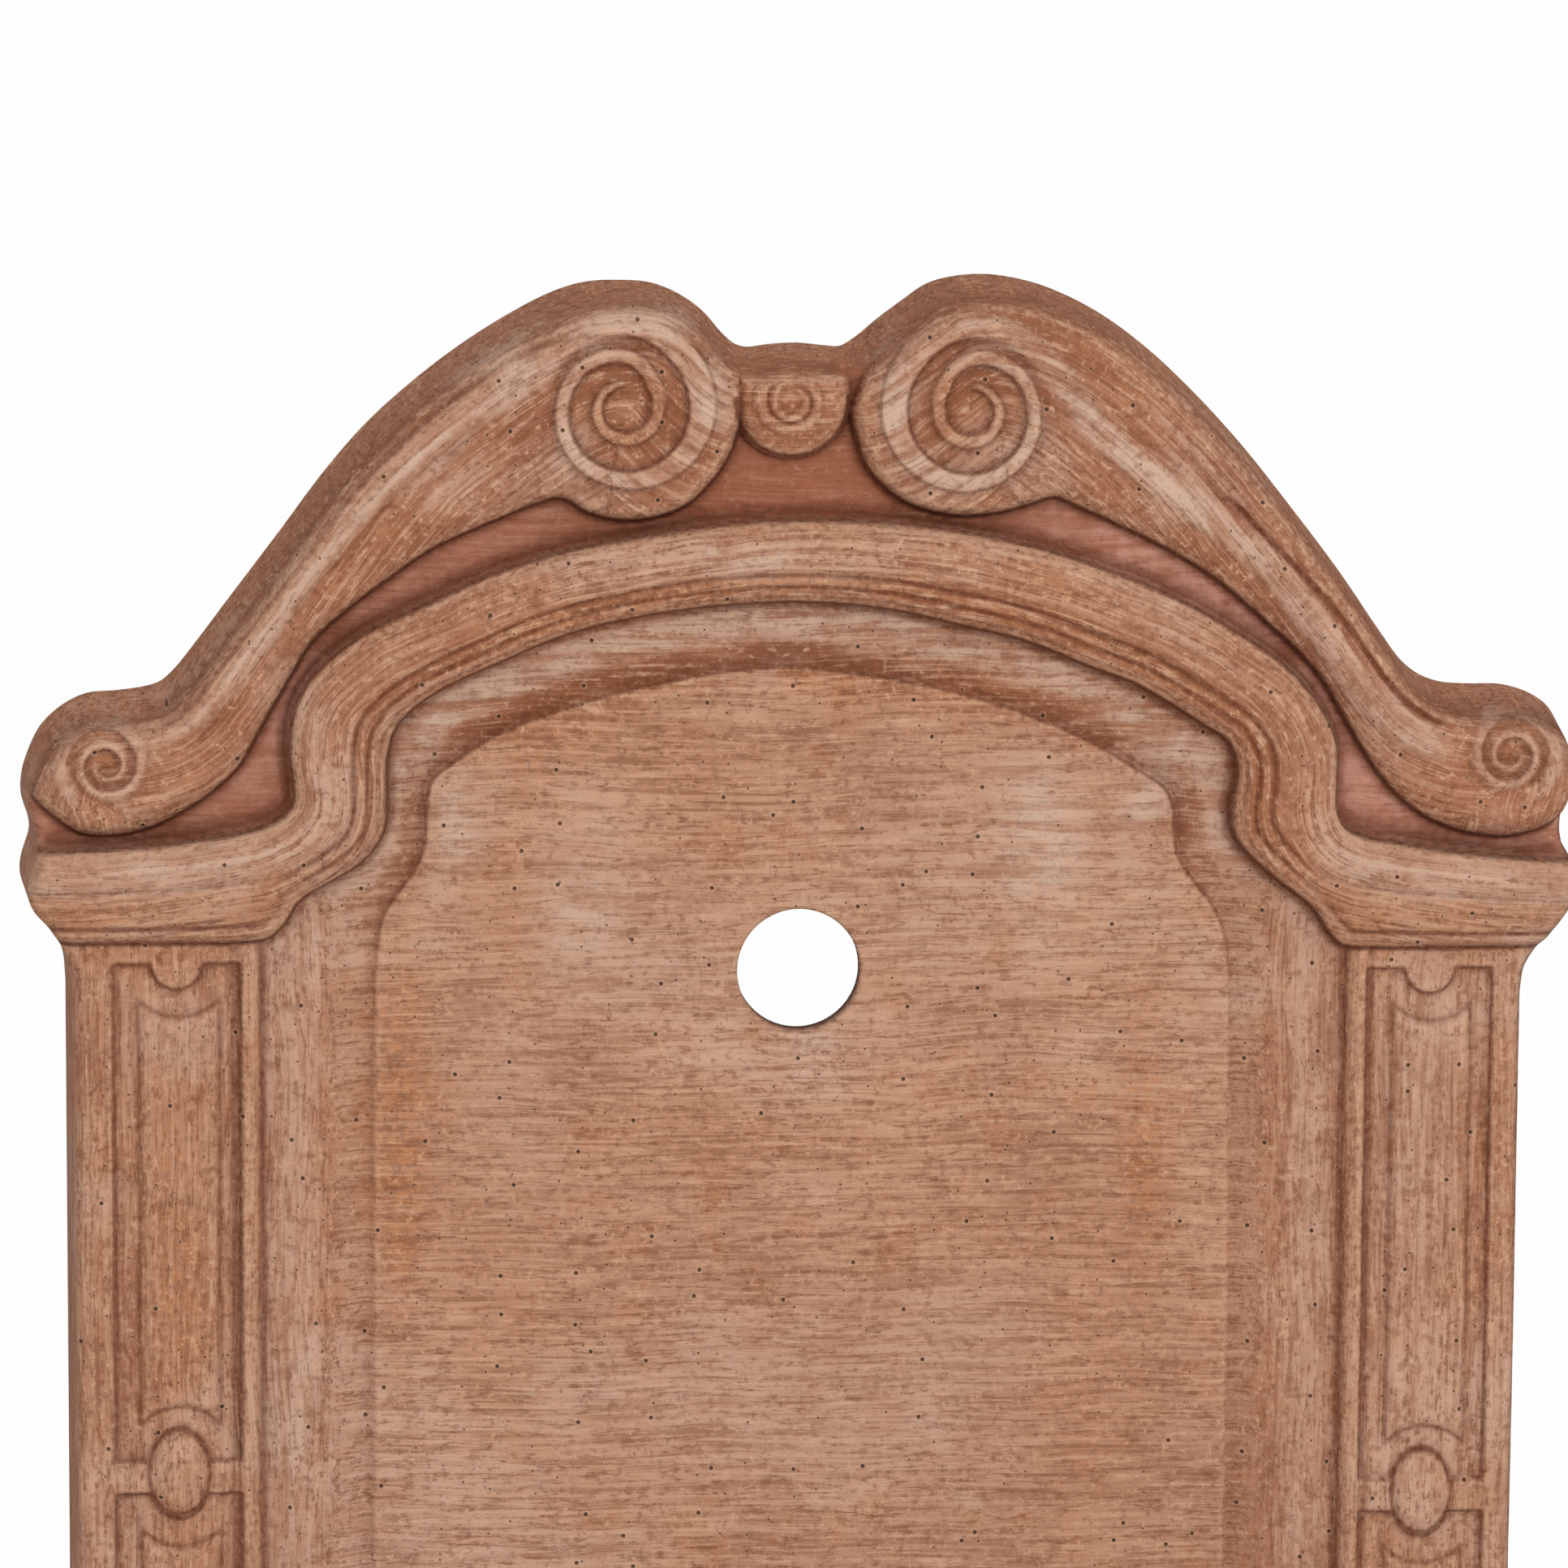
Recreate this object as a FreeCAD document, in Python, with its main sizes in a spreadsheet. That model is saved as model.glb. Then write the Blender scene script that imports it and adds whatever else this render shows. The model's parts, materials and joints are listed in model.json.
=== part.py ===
# Garden wall fountain in pressed terracotta: a carved back panel stands on the rear ledge of a
# bow-fronted basin, and the basin stands on a hollow pedestal. Millimetres, +Z up. The front
# faces -Y, the back lies against the wall at WALL_Y, and the origin is under the middle.
import FreeCAD, Part
import math
import os
from FreeCAD import Placement, Rotation, Vector

DOC = FreeCAD.newDocument("garden_wall_fountain")

# Driving sizes. Depths are measured from the wall, heights from the foot of each clay piece.
SIZES = {
    # Back panel
    "panel_setback": 17.0,
    "pilaster_width": 58.5,
    "border_width": 15.0,
    "slope_width": 22.0,
    "pilaster_depth": 54.0,
    "field_depth": 40.0,
    "recess_depth": 35.0,
    "border_depth": 46.0,
    "crown_height": 538.3,
    "cornice_end_overhang": 16.5,
    "cornice_projection": 14.0,
    "cornice_drop": 27.0,
    "field_gap": 49.0,
    "scroll_depth": 58.0,
    "volute_depth": 64.0,
    "large_volute_radius": 38.0,
    "small_volute_radius": 24.5,
    "middle_volute_radius": 19.0,
    "large_volute_place": 57.3,
    "large_spiral_radius": 25.0,
    "large_spiral_pitch": 11.0,
    "small_spiral_radius": 14.0,
    "middle_spiral_radius": 11.0,
    "small_spiral_pitch": 8.0,
    "tap_height": 390.0,
    "tap_hole_radius": 20.0,
    "clay_wall": 20.0,
    "fixing_rib_height": 440.0,
    "fixing_rib_width": 40.0,
    "plinth_height": 44.0,
    "foot_band": 30.0,
    "buried_depth": 30.0,
    "inset_depth": 3.0,
    "inset_half_width": 19.9,
    "inset_bite_radius": 8.5,
    "inset_groove_width": 6.5,
    # Basin
    "basin_radius": 250.0,
    "basin_height": 190.0,
    "ledge_depth": 80.0,
    "basin_wall": 22.0,
    "basin_floor": 26.0,
    "rim_width": 30.0,
    "basin_foot_radius": 152.0,
    # Pedestal
    "pedestal_height": 165.0,
    "pedestal_foot_radius": 176.0,
    "pedestal_shaft_radius": 140.0,
    "pedestal_cap_radius": 160.0,
    # Setting pads, dowels and wall fixings
    "pad_thickness": 3.0,
    "pad_side": 18.0,
    "dowel_radius": 6.0,
    "dowel_length": 44.0,
    "dowel_clearance": 0.3,
    "plate_length": 64.0,
    "plate_width": 26.0,
    "plate_thickness": 2.5,
    "plate_spacing": 220.0,
    "keyhole_radius": 6.0,
    "keyslot_radius": 3.0,
    "screw_radius": 2.0,
    "screw_head_radius": 4.0,
    "screw_length": 18.0,
    # Basin waste and lift-out overflow
    "waste_setback": 62.0,
    "waste_radius": 20.0,
    "waste_bore_radius": 16.5,
    "waste_flange_radius": 34.0,
    "waste_flange_thickness": 3.0,
    "waste_thread_length": 48.0,
    "waste_spigot_radius": 18.5,
    "waste_spigot_length": 32.0,
    "gasket_thickness": 3.0,
    "gasket_inset": 1.0,
    "locknut_radius": 31.0,
    "locknut_thickness": 10.0,
    "standpipe_radius": 14.0,
    "standpipe_wall": 1.5,
    "water_depth": 125.0,
    "pipe_lip": 2.0,
    "bung_depth": 20.0,
    "bung_collar_radius": 21.0,
    "bung_collar_thickness": 4.0,
    "bung_clearance": 0.3,
}

SHEET = DOC.addObject("Spreadsheet::Sheet", "Sizes")
for row, (alias, value) in enumerate(SIZES.items(), start=1):
    SHEET.set(f"A{row}", alias)
    SHEET.set(f"B{row}", str(value))
    SHEET.setAlias(f"B{row}", alias)
DOC.recompute()


def size(alias):
    """One driving size, read back from the sheet."""
    return float(getattr(SHEET, alias))


def bind(feature, prop, formula):
    """Tie a property to a formula of sheet cells, written with plain aliases."""
    words = formula.replace("(", " ( ").replace(")", " ) ").split()
    cells = [f"Sizes.{word}" if word in SIZES else word for word in words]
    feature.setExpression(prop, " ".join(cells))


# Planes of the sketches: front has x to the right and y up, and its solids grow towards -Y.
# Side has x towards the wall and y up, and its solids grow towards +X. Plan is the floor.
FRONT = Rotation(Vector(1, 0, 0), 90)
SIDE = Rotation(Vector(1, 1, 1), 120)
PLAN = Rotation()


class Track:
    """A chain of tangent lines and arcs, laid from one end as a railway track is."""

    def __init__(self, x, y, heading):
        self.x = x
        self.y = y
        self.heading = math.radians(heading)
        self.edges = []

    def line(self, length):
        start = Vector(self.x, self.y, 0)
        self.x += length * math.cos(self.heading)
        self.y += length * math.sin(self.heading)
        self.edges.append(Part.LineSegment(start, Vector(self.x, self.y, 0)))
        return self

    def line_to(self, x, y):
        start = Vector(self.x, self.y, 0)
        self.heading = math.atan2(y - self.y, x - self.x)
        self.x = x
        self.y = y
        self.edges.append(Part.LineSegment(start, Vector(x, y, 0)))
        return self

    def arc(self, radius, turn):
        """Turn by so many degrees, to the left where the turn is positive."""
        towards_centre = self.heading + math.copysign(math.pi / 2, turn)
        centre = Vector(self.x + radius * math.cos(towards_centre),
                        self.y + radius * math.sin(towards_centre), 0)
        sweep = math.radians(turn)
        start_angle = towards_centre + math.pi

        def at(angle):
            return centre + Vector(radius * math.cos(angle), radius * math.sin(angle), 0)

        end = at(start_angle + sweep)
        self.edges.append(Part.Arc(at(start_angle), at(start_angle + sweep / 2), end))
        self.x = end.x
        self.y = end.y
        self.heading += sweep
        return self

    def bowed_to(self, x, y, bow, steps):
        """Short straight runs along a shallow curve that bows to the right of its chord."""
        start = self.point()
        chord = Vector(x, y, 0) - start
        outward = Vector(chord.y, -chord.x, 0).normalize()
        for step in range(1, steps + 1):
            part = step / steps
            place = start + chord * part + outward * (4 * bow * part * (1 - part))
            self.line_to(place.x, place.y)
        return self

    def point(self):
        return Vector(self.x, self.y, 0)


def ring(points):
    """The edges of a closed outline with straight sides."""
    corners = [Vector(x, y, 0) for x, y in points]
    return [Part.LineSegment(a, b) for a, b in zip(corners, corners[1:] + corners[:1])]


def block(low_x, low_y, high_x, high_y):
    """The edges of an upright rectangle."""
    return ring([(low_x, low_y), (high_x, low_y), (high_x, high_y), (low_x, high_y)])


def circle(x, y, radius):
    return [Part.Circle(Vector(x, y, 0), Vector(0, 0, 1), radius)]


def sketch(name, plane, edges, offset=Vector()):
    """A sketch on one of the three planes, moved by an offset."""
    drawing = DOC.addObject("Sketcher::SketchObject", name)
    drawing.Placement = Placement(offset, plane)
    drawing.addGeometry(edges, False)
    return drawing


def extrude(name, drawing, formula, reverse=False):
    """A solid grown from a sketch by a length that the sheet drives."""
    solid = DOC.addObject("Part::Extrusion", name)
    solid.Base = drawing
    solid.DirMode = "Normal"
    solid.Solid = True
    solid.Reversed = reverse
    bind(solid, "LengthFwd", formula)
    return solid


def sweep(name, profile, spine):
    solid = DOC.addObject("Part::Sweep", name)
    solid.Sections = [profile]
    solid.Spine = (spine, [])
    solid.Solid = True
    solid.Frenet = False
    return solid


def revolve(name, drawing, angle):
    """A solid turned about the upright axis through the origin."""
    solid = DOC.addObject("Part::Revolution", name)
    solid.Source = drawing
    solid.Base = Vector()
    solid.Axis = Vector(0, 0, 1)
    solid.Angle = angle
    solid.Solid = True
    return solid


def cylinder(name, radius, height, placement):
    solid = DOC.addObject("Part::Cylinder", name)
    bind(solid, "Radius", radius)
    bind(solid, "Height", height)
    solid.Placement = placement
    return solid


def fuse(name, solids):
    union = DOC.addObject("Part::MultiFuse", name)
    union.Shapes = solids
    union.Refine = True
    return union


def cut(name, base, tools):
    """Take one or more tools out of a base."""
    result = DOC.addObject("Part::Cut", name)
    result.Base = base
    result.Tool = tools[0] if len(tools) == 1 else fuse(name + "_tools", tools)
    result.Refine = True
    return result


def common(name, first, second):
    result = DOC.addObject("Part::Common", name)
    result.Base = first
    result.Tool = second
    return result


def mirror(name, source):
    """The same solid on the other side of the plane x = 0."""
    twin = DOC.addObject("Part::Mirroring", name)
    twin.Source = source
    twin.Base = Vector()
    twin.Normal = Vector(1, 0, 0)
    return twin


def compound(name, solids):
    group = DOC.addObject("Part::Compound", name)
    group.Links = solids
    return group


def both_halves(name, half):
    return fuse(name, [half, mirror(name + "_left", half)])


def bevel(name, base, width, wanted):
    """Chamfer the edges that the test picks."""
    DOC.recompute()
    result = DOC.addObject("Part::Chamfer", name)
    result.Base = base
    picked = [number for number, edge in enumerate(base.Shape.Edges, start=1) if wanted(edge)]
    result.Edges = [(number, width, width) for number in picked]
    return result


def lies_at_depth(depth):
    """A test for edges whose every end lies on the front plane at this depth."""
    return lambda edge: all(abs(vertex.Y + depth) < 0.01 for vertex in edge.Vertexes)


PARTS = []


def publish(solid, label, offset):
    """Name a finished sub-part and set it in its place."""
    solid.Label = label
    solid.Placement = Placement(offset, Rotation())
    PARTS.append(solid)
    return solid


# Places that several pieces share
WALL_Y = (size("ledge_depth") + size("basin_radius")) / 2
BOWL_Y = WALL_Y - size("ledge_depth")
BASIN_Z = size("pedestal_height") + size("pad_thickness")
LEDGE_Z = BASIN_Z + size("basin_height")
PANEL_Z = LEDGE_Z + size("pad_thickness")
HALF_WIDTH = size("basin_radius") - size("panel_setback")
PILASTER_X = HALF_WIDTH - size("pilaster_width") / 2
PILASTER_INNER_X = HALF_WIDTH - size("pilaster_width")


# Carved back panel
# Only the right half is drawn, as seen from the front. The left half is its mirror image.
CORNICE_SHOULDER = 50.0
CORNICE_HOLLOW = 14.0
CORNICE_END_RADIUS = 200.0
CORNICE_END_GAP = 1.6
FIELD_SHOULDER = 8.0
FIELD_FLARE = 46.0
NECK_DROP = 11.0
SCROLL_STEP = 4.0
SCROLL_BOW = 1.24
SCROLL_BEVEL = 5.0
CORNER_BEVEL = 3.0
INSET_GAP = 4.8
OVERLAP = 1.0


def crowned_track(crown_z, crown_turn, end_x, finish):
    """A track that starts level at the crown, on the arc that makes it end at end_x."""
    turn = math.radians(crown_turn)
    rest = finish(Track(0, 0, -crown_turn)).x
    radius = (end_x - rest) / math.sin(turn)
    return finish(Track(0, crown_z, 0).arc(radius, -crown_turn))


def cornice_track():
    """The top edge of the cornice, from the crown down to its level end."""
    def finish(track):
        track.arc(CORNICE_SHOULDER, -62).line(8).arc(CORNICE_HOLLOW, 80).line(18)
        return track.arc(CORNICE_END_RADIUS, 10)

    return crowned_track(size("crown_height"), 28, HALF_WIDTH - CORNICE_END_GAP, finish)


def cornice_section(top, back_depth):
    """Section of the cornice: rounded nose, hollow and bead. x is minus the depth, y is up."""
    back = -back_depth
    nose = -(size("pilaster_depth") + size("cornice_projection"))
    drop = size("cornice_drop")
    return ring([
        (back, top),
        (nose + 6, top),
        (nose + 2, top - 0.06 * drop),
        (nose, top - 0.19 * drop),
        (nose, top - 0.33 * drop),
        (nose + 3, top - 0.5 * drop),
        (nose + 9, top - 0.63 * drop),
        (nose + 7.5, top - 0.74 * drop),
        (nose + 8.5, top - 0.87 * drop),
        (nose + 17, top - drop),
        (back, top - drop),
    ])


def field_track():
    """The edge of the raised inner field, from its crown down to the panel's foot."""
    def finish(track):
        return track.arc(FIELD_SHOULDER, -54.5).line(2).arc(FIELD_FLARE, 50).arc(FIELD_SHOULDER, -50)

    edge_x = PILASTER_INNER_X - size("border_width") - size("slope_width")
    track = crowned_track(size("crown_height") - size("field_gap"), 35.5, edge_x, finish)
    return track.line(track.y)


def scroll_track():
    """The outer edge of the scroll, from the small volute up to the top of the large one."""
    centre_x = HALF_WIDTH + size("cornice_end_overhang") - size("small_volute_radius")
    start_z = cornice_track().y + SCROLL_STEP
    small_centre = Vector(centre_x, start_z + size("small_volute_radius"), 0)

    def climb(length):
        track = Track(centre_x, start_z, 0).arc(size("small_volute_radius"), 180).line(18)
        track.arc(14, -54).line(length)
        return track.arc(160, 24).arc(72, 30)

    first_try = 50.0
    short = (climb(first_try).x - size("large_volute_place")) / math.cos(math.radians(54))
    track = climb(first_try + short)
    large_centre = Vector(track.x, track.y - size("large_volute_radius"), 0)
    return track, small_centre, large_centre


def circles_meet(first, first_radius, second, second_radius):
    """The two points where circles cross."""
    gap = second - first
    along = (first_radius ** 2 - second_radius ** 2 + gap.Length ** 2) / (2 * gap.Length)
    across = math.sqrt(first_radius ** 2 - along ** 2)
    unit = Vector(gap).normalize()
    normal = Vector(-unit.y, unit.x, 0)
    middle = first + unit * along
    return middle + normal * across, middle - normal * across


def scroll_outline():
    """The whole scroll: up its back, round the large volute and down its lower edge."""
    track, small_centre, large_centre = scroll_track()
    foot_x = small_centre.x
    foot_y = small_centre.y - size("small_volute_radius")
    under = Track(foot_x, foot_y, 180).arc(62, -57)
    waist_radius = SCROLL_BOW * (large_centre - small_centre).Length
    waist = under.point()
    to_centre = under.heading + math.pi / 2
    waist_centre = waist + Vector(math.cos(to_centre), math.sin(to_centre), 0) * waist_radius
    blend = 6.0
    head = size("large_volute_radius")
    corner = max(circles_meet(large_centre, head + blend, waist_centre, waist_radius - blend),
                 key=lambda point: point.x)
    on_head = large_centre + (corner - large_centre).normalize() * head
    on_waist = waist_centre + (corner - waist_centre).normalize() * waist_radius
    middle = ((on_head + on_waist) / 2 - corner).normalize() * blend + corner

    def between(centre, radius, start, end, bow):
        chord = ((start + end) / 2 - centre).normalize() * radius * bow
        return Part.Arc(start, centre + chord, end)

    edges = track.edges
    edges.append(between(large_centre, head, track.point(), on_head, -1))
    edges.append(Part.Arc(on_head, middle, on_waist))
    edges.append(between(waist_centre, waist_radius, on_waist, waist, 1))
    edges.extend(under.edges)
    return edges


def spiral(name, centre, outer, pitch, half_turns, depth):
    """A round groove that winds into the eye of a volute by half turns."""
    track = Track(centre.x, centre.y + outer, 180)
    for number in range(half_turns):
        track.arc(outer - number * pitch / 2, 180)
    spine = sketch(name + "_line", FRONT, track.edges, Vector(0, -depth, 0))
    groove = 0.2 * pitch
    start = Vector(centre.x, -depth, centre.y + outer)
    section = sketch(name + "_section", SIDE,
                     ring([(groove, 0), (0, groove), (-groove, 0), (0, -groove)]), start)
    return sweep(name, section, spine)


def returned_moulding(name, section, x_start):
    """A moulding that runs along the front and turns the corner back to the wall.

    The section lists depth and height, from the top at the wall down to the foot at the wall.
    """
    end_x = HALF_WIDTH + size("cornice_end_overhang")
    front = sketch(name + "_front", SIDE, ring([(-depth, z) for depth, z in section]),
                   Vector(x_start, 0, 0))
    run = extrude(name + "_run", front, str(end_x + 5 - x_start))
    overhang = size("cornice_end_overhang") / size("cornice_projection")
    side = [(HALF_WIDTH + (depth - size("pilaster_depth")) * overhang, z)
            for depth, z in section[1:-1]]
    inner_x = x_start - OVERLAP
    outline = [(inner_x, section[0][1])] + side + [(inner_x, section[-1][1])]
    wing = extrude(name + "_wing", sketch(name + "_side", FRONT, ring(outline)),
                   "pilaster_depth + cornice_projection + 5")
    return common(name, run, wing)


def panel_frame(end_z):
    """The parts that frame the field: border, slope round the field, and the field itself."""
    field = field_track()
    crown = size("crown_height") - size("field_gap")
    back = -size("buried_depth")
    border = extrude("panel_border", sketch("panel_border_outline", FRONT, block(
        field.x + size("slope_width"), 0, PILASTER_INNER_X + OVERLAP, end_z - 2 * OVERLAP)), "border_depth")
    slope = sweep("panel_slope", sketch("panel_slope_section", SIDE, ring([
        (back, crown),
        (-size("recess_depth") - 0.5, crown),
        (-size("border_depth"), crown + size("slope_width")),
        (back, crown + size("slope_width")),
    ])), sketch("panel_slope_line", FRONT, field.edges))
    raised = field_track().line_to(0, 0).line_to(0, crown)
    inner = extrude("panel_field", sketch("panel_field_outline", FRONT, raised.edges), "field_depth")
    return [border, slope, inner]


def panel_cornice(cornice):
    """The swept cornice, its level end over the pilaster, and the necking bead below."""
    end_z = cornice.y
    under = end_z - size("cornice_drop")
    moulding = sweep("panel_cornice",
                     sketch("panel_cornice_section", SIDE,
                            cornice_section(size("crown_height"), size("buried_depth"))),
                     sketch("panel_cornice_line", FRONT, cornice.edges))
    end_section = [(-edge.StartPoint.x, edge.StartPoint.y) for edge in cornice_section(end_z, 0)]
    capital_end = returned_moulding("panel_capital_end", end_section, cornice.x - OVERLAP)
    front = size("pilaster_depth")
    neck_low = under - NECK_DROP
    neck = returned_moulding("panel_neck", [
        (0, under + OVERLAP),
        (front + 4, under + OVERLAP),
        (front + 1, neck_low + 6),
        (front + 3, neck_low + 4.5),
        (front + 3, neck_low + 1.5),
        (front, neck_low),
        (0, neck_low),
    ], PILASTER_INNER_X)
    return [moulding, capital_end, neck]


def panel_pilaster(under):
    """The pilaster's shaft with softened long corners, and the plinth it stands on."""
    half = HALF_WIDTH
    front = size("pilaster_depth")
    shaft = extrude("panel_pilaster_block", sketch("panel_pilaster_outline", FRONT, block(
        PILASTER_INNER_X, 0, half, under + 2 * OVERLAP)), "pilaster_depth")
    on_front = lies_at_depth(front)
    pilaster = bevel("panel_pilaster", shaft, CORNER_BEVEL,
                     lambda edge: on_front(edge) and edge.BoundBox.ZLength > 50)
    top = size("plinth_height")
    plinth = returned_moulding("panel_plinth", [
        (0, top),
        (front, top),
        (front + 3, top - 3),
        (front + 3, top - 8),
        (front + 2, top - 10),
        (front + 7, top - 15),
        (front + 7, 0),
        (0, 0),
    ], PILASTER_INNER_X - 6)
    return [pilaster, plinth]


def panel_scroll(small_centre, large_centre):
    """The scroll of the pediment, with the raised eyes of its two volutes."""
    body = extrude("panel_scroll_block", sketch("panel_scroll_outline", FRONT, scroll_outline()),
                   "scroll_depth")
    solids = [bevel("panel_scroll", body, SCROLL_BEVEL, lies_at_depth(size("scroll_depth")))]
    for name, centre, radius in (("large_volute", large_centre, size("large_volute_radius") - 6),
                                 ("small_volute", small_centre, size("small_volute_radius") - 5)):
        disc = extrude(name + "_disc", sketch(name + "_rim", FRONT, circle(centre.x, centre.y, radius)),
                       "volute_depth")
        solids.append(bevel(name, disc, CORNER_BEVEL, lies_at_depth(size("volute_depth"))))
    return solids


def panel_half():
    """The right half of the carved panel, without its hollows."""
    half = HALF_WIDTH
    cornice = cornice_track()
    end_z = cornice.y
    _, small_centre, large_centre = scroll_track()
    notch_z = large_centre.y + 0.8 * size("middle_volute_radius")
    side_x = half + size("cornice_end_overhang") - 3
    slab = extrude("panel_slab", sketch("panel_slab_outline", FRONT, ring([
        (0, 0),
        (half - 2, 0),
        (half - 2, end_z),
        (side_x, end_z - 5),
        (side_x, small_centre.y),
        (small_centre.x, small_centre.y),
        (large_centre.x, large_centre.y + 10),
        (0.5 * large_centre.x, notch_z),
        (0, notch_z),
    ])), "recess_depth")
    return fuse("panel_half_clay", [slab] + panel_frame(end_z) + panel_cornice(cornice)
                + panel_pilaster(end_z - size("cornice_drop")) + panel_scroll(small_centre, large_centre))


def panel_bays(large_centre):
    """The hollows in the panel's back. Ribs stay round the foot, the tap and the hanger plates."""
    rib = size("fixing_rib_height")
    rib_top = rib + size("fixing_rib_width")
    wall = size("clay_wall")
    foot = size("foot_band")
    bay_x = HALF_WIDTH - wall
    post_x = PILASTER_INNER_X + wall
    shelf = 0.5 * rib - wall
    thin = "field_depth - clay_wall"
    deep = "pilaster_depth - clay_wall"
    corners = {
        "lower_bay": (block(0, foot, bay_x, shelf), thin),
        "middle_bay": (ring([(0, shelf + wall), (bay_x, shelf + wall), (bay_x, rib - 30),
                             (bay_x - 40, rib), (0, rib)]), thin),
        "crest_bay": (ring([(0, rib_top), (2.2 * large_centre.x, rib_top),
                            (large_centre.x, large_centre.y - 26), (0, large_centre.y - 22)]), thin),
        "lower_post": (block(post_x, foot, bay_x, shelf), deep),
        "upper_post": (block(post_x, shelf + wall, bay_x, rib - 40), deep),
    }
    return [extrude(name, sketch(name + "_outline", FRONT, edges), depth)
            for name, (edges, depth) in corners.items()]


def dipped_outline(low, high, wide, reach):
    """A tall panel on the pilaster, with a round bite of this reach out of each end."""
    bite = min(wide, reach)
    corner = math.sqrt(reach ** 2 - bite ** 2)
    edges = []
    for end, side in ((high - corner, 1), (low + corner, -1)):
        tip = high - reach if side > 0 else low + reach
        start = Vector(PILASTER_X + side * wide, end, 0)
        bite_start = Vector(PILASTER_X + side * bite, end, 0)
        bite_end = Vector(PILASTER_X - side * bite, end, 0)
        finish = Vector(PILASTER_X - side * wide, end, 0)
        if wide > bite:
            edges.append(Part.LineSegment(start, bite_start))
        edges.append(Part.Arc(bite_start, Vector(PILASTER_X, tip, 0), bite_end))
        if wide > bite:
            edges.append(Part.LineSegment(bite_end, finish))
        across = low + corner if side > 0 else high - corner
        edges.append(Part.LineSegment(finish, Vector(finish.x, across, 0)))
    return edges


def inset_panel(name, low, high):
    """A sunk frame on the pilaster round a raised inner panel, both bitten at their ends."""
    offset = Vector(0, -size("pilaster_depth"), 0)
    wide = size("inset_half_width")
    bite = size("inset_bite_radius")
    groove = size("inset_groove_width")
    frame = extrude(name + "_frame",
                    sketch(name + "_outer", FRONT, dipped_outline(low, high, wide, bite), offset),
                    "inset_depth", reverse=True)
    island = extrude(name + "_island",
                     sketch(name + "_inner", FRONT,
                            dipped_outline(low, high, wide - groove, bite + 1.3 * groove), offset),
                     "inset_depth", reverse=True)
    return cut(name, frame, [island])


def hanger_seat():
    """What the fixing rib loses to one hanger plate: its seat, head room and screw holes."""
    plate_x = size("plate_spacing") / 2
    plate_z = hanger_height()
    half_length = size("plate_length") / 2
    half_width = size("plate_width") / 2
    seat = extrude("plate_seat", sketch("plate_seat_outline", FRONT, block(
        plate_x - half_length, plate_z - half_width, plate_x + half_length, plate_z + half_width)),
        "plate_thickness")
    head_room = extrude("screw_head_room", sketch("screw_head_room_outline", FRONT, block(
        plate_x - 9, plate_z - 10, plate_x + 9, plate_z + 12)), "clay_wall * 0.6")
    holes = [cylinder(f"screw_hole_{side}", "screw_radius", "screw_length",
                      Placement(Vector(plate_x + offset, 0, plate_z), FRONT))
             for side, offset in screw_offsets()]
    return [seat, head_room] + holes


def build_back_panel():
    """The carved panel with its tap hole, sunk pilaster panels and hollow ribbed back."""
    _, small_centre, large_centre = scroll_track()
    pilaster_top = cornice_track().y - size("cornice_drop") - NECK_DROP
    waist = 0.5 * (pilaster_top + size("plinth_height")) + 4
    upper = inset_panel("upper_inset", waist + INSET_GAP, pilaster_top - 4)
    lower = inset_panel("lower_inset", size("plinth_height") + 12, waist - INSET_GAP)
    grooves = [spiral("large_spiral", large_centre, size("large_spiral_radius"),
                      size("large_spiral_pitch"), 4, size("volute_depth")),
               spiral("small_spiral", small_centre, size("small_spiral_radius"),
                      size("small_spiral_pitch"), 3, size("volute_depth"))]
    socket = cylinder("panel_dowel_socket", "dowel_radius + dowel_clearance",
                      "dowel_length / 2 + dowel_clearance",
                      Placement(Vector(PILASTER_X, -dowel_setback(), 0), PLAN))
    clay = cut("panel_half_cut", panel_half(),
               panel_bays(large_centre) + grooves + [upper, lower, socket] + hanger_seat())
    whole = both_halves("panel_clay", clay)

    rim = circle(0, large_centre.y, size("middle_volute_radius"))
    middle_disc = extrude("middle_volute_disc", sketch("middle_volute_rim", FRONT, rim), "scroll_depth")
    bosses = [bevel("middle_volute", middle_disc, CORNER_BEVEL, lies_at_depth(size("scroll_depth")))]
    for word, side in (("left", -1), ("right", 1)):
        middle = Vector(side * PILASTER_X, waist, 0)
        oval = Part.Ellipse(middle + Vector(0, 13, 0), middle + Vector(8.5, 0, 0), middle)
        root = Vector(0, -size("pilaster_depth") + 0.5 * size("clay_wall"), 0)
        bosses.append(extrude(f"cartouche_{word}",
                              sketch(f"cartouche_outline_{word}", FRONT, [oval], root),
                              "0.5 * clay_wall + 2"))
    carved = fuse("panel_carved", [whole] + bosses)
    tap_hole = cylinder("tap_hole", "tap_hole_radius", "field_depth + 10",
                        Placement(Vector(0, 5, size("tap_height")), FRONT))
    groove = spiral("middle_spiral", Vector(0, large_centre.y, 0), size("middle_spiral_radius"),
                    size("small_spiral_pitch"), 3, size("scroll_depth"))
    panel = cut("back_panel", carved, [tap_hole, groove])
    publish(panel, "back_panel", Vector(0, WALL_Y, PANEL_Z))


def hanger_height():
    """The middle of the fixing rib, above the panel's foot."""
    return size("fixing_rib_height") + size("fixing_rib_width") / 2


def screw_offsets():
    """The two screws of a hanger plate, as places along the plate."""
    reach = size("plate_length") / 2 - 2 * size("screw_head_radius") - 1
    return (("inner", -reach), ("outer", reach))


def dowel_setback():
    """How far the locating dowels stand in front of the wall."""
    return size("clay_wall") + 0.5 * (size("pilaster_depth") - size("clay_wall"))


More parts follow.
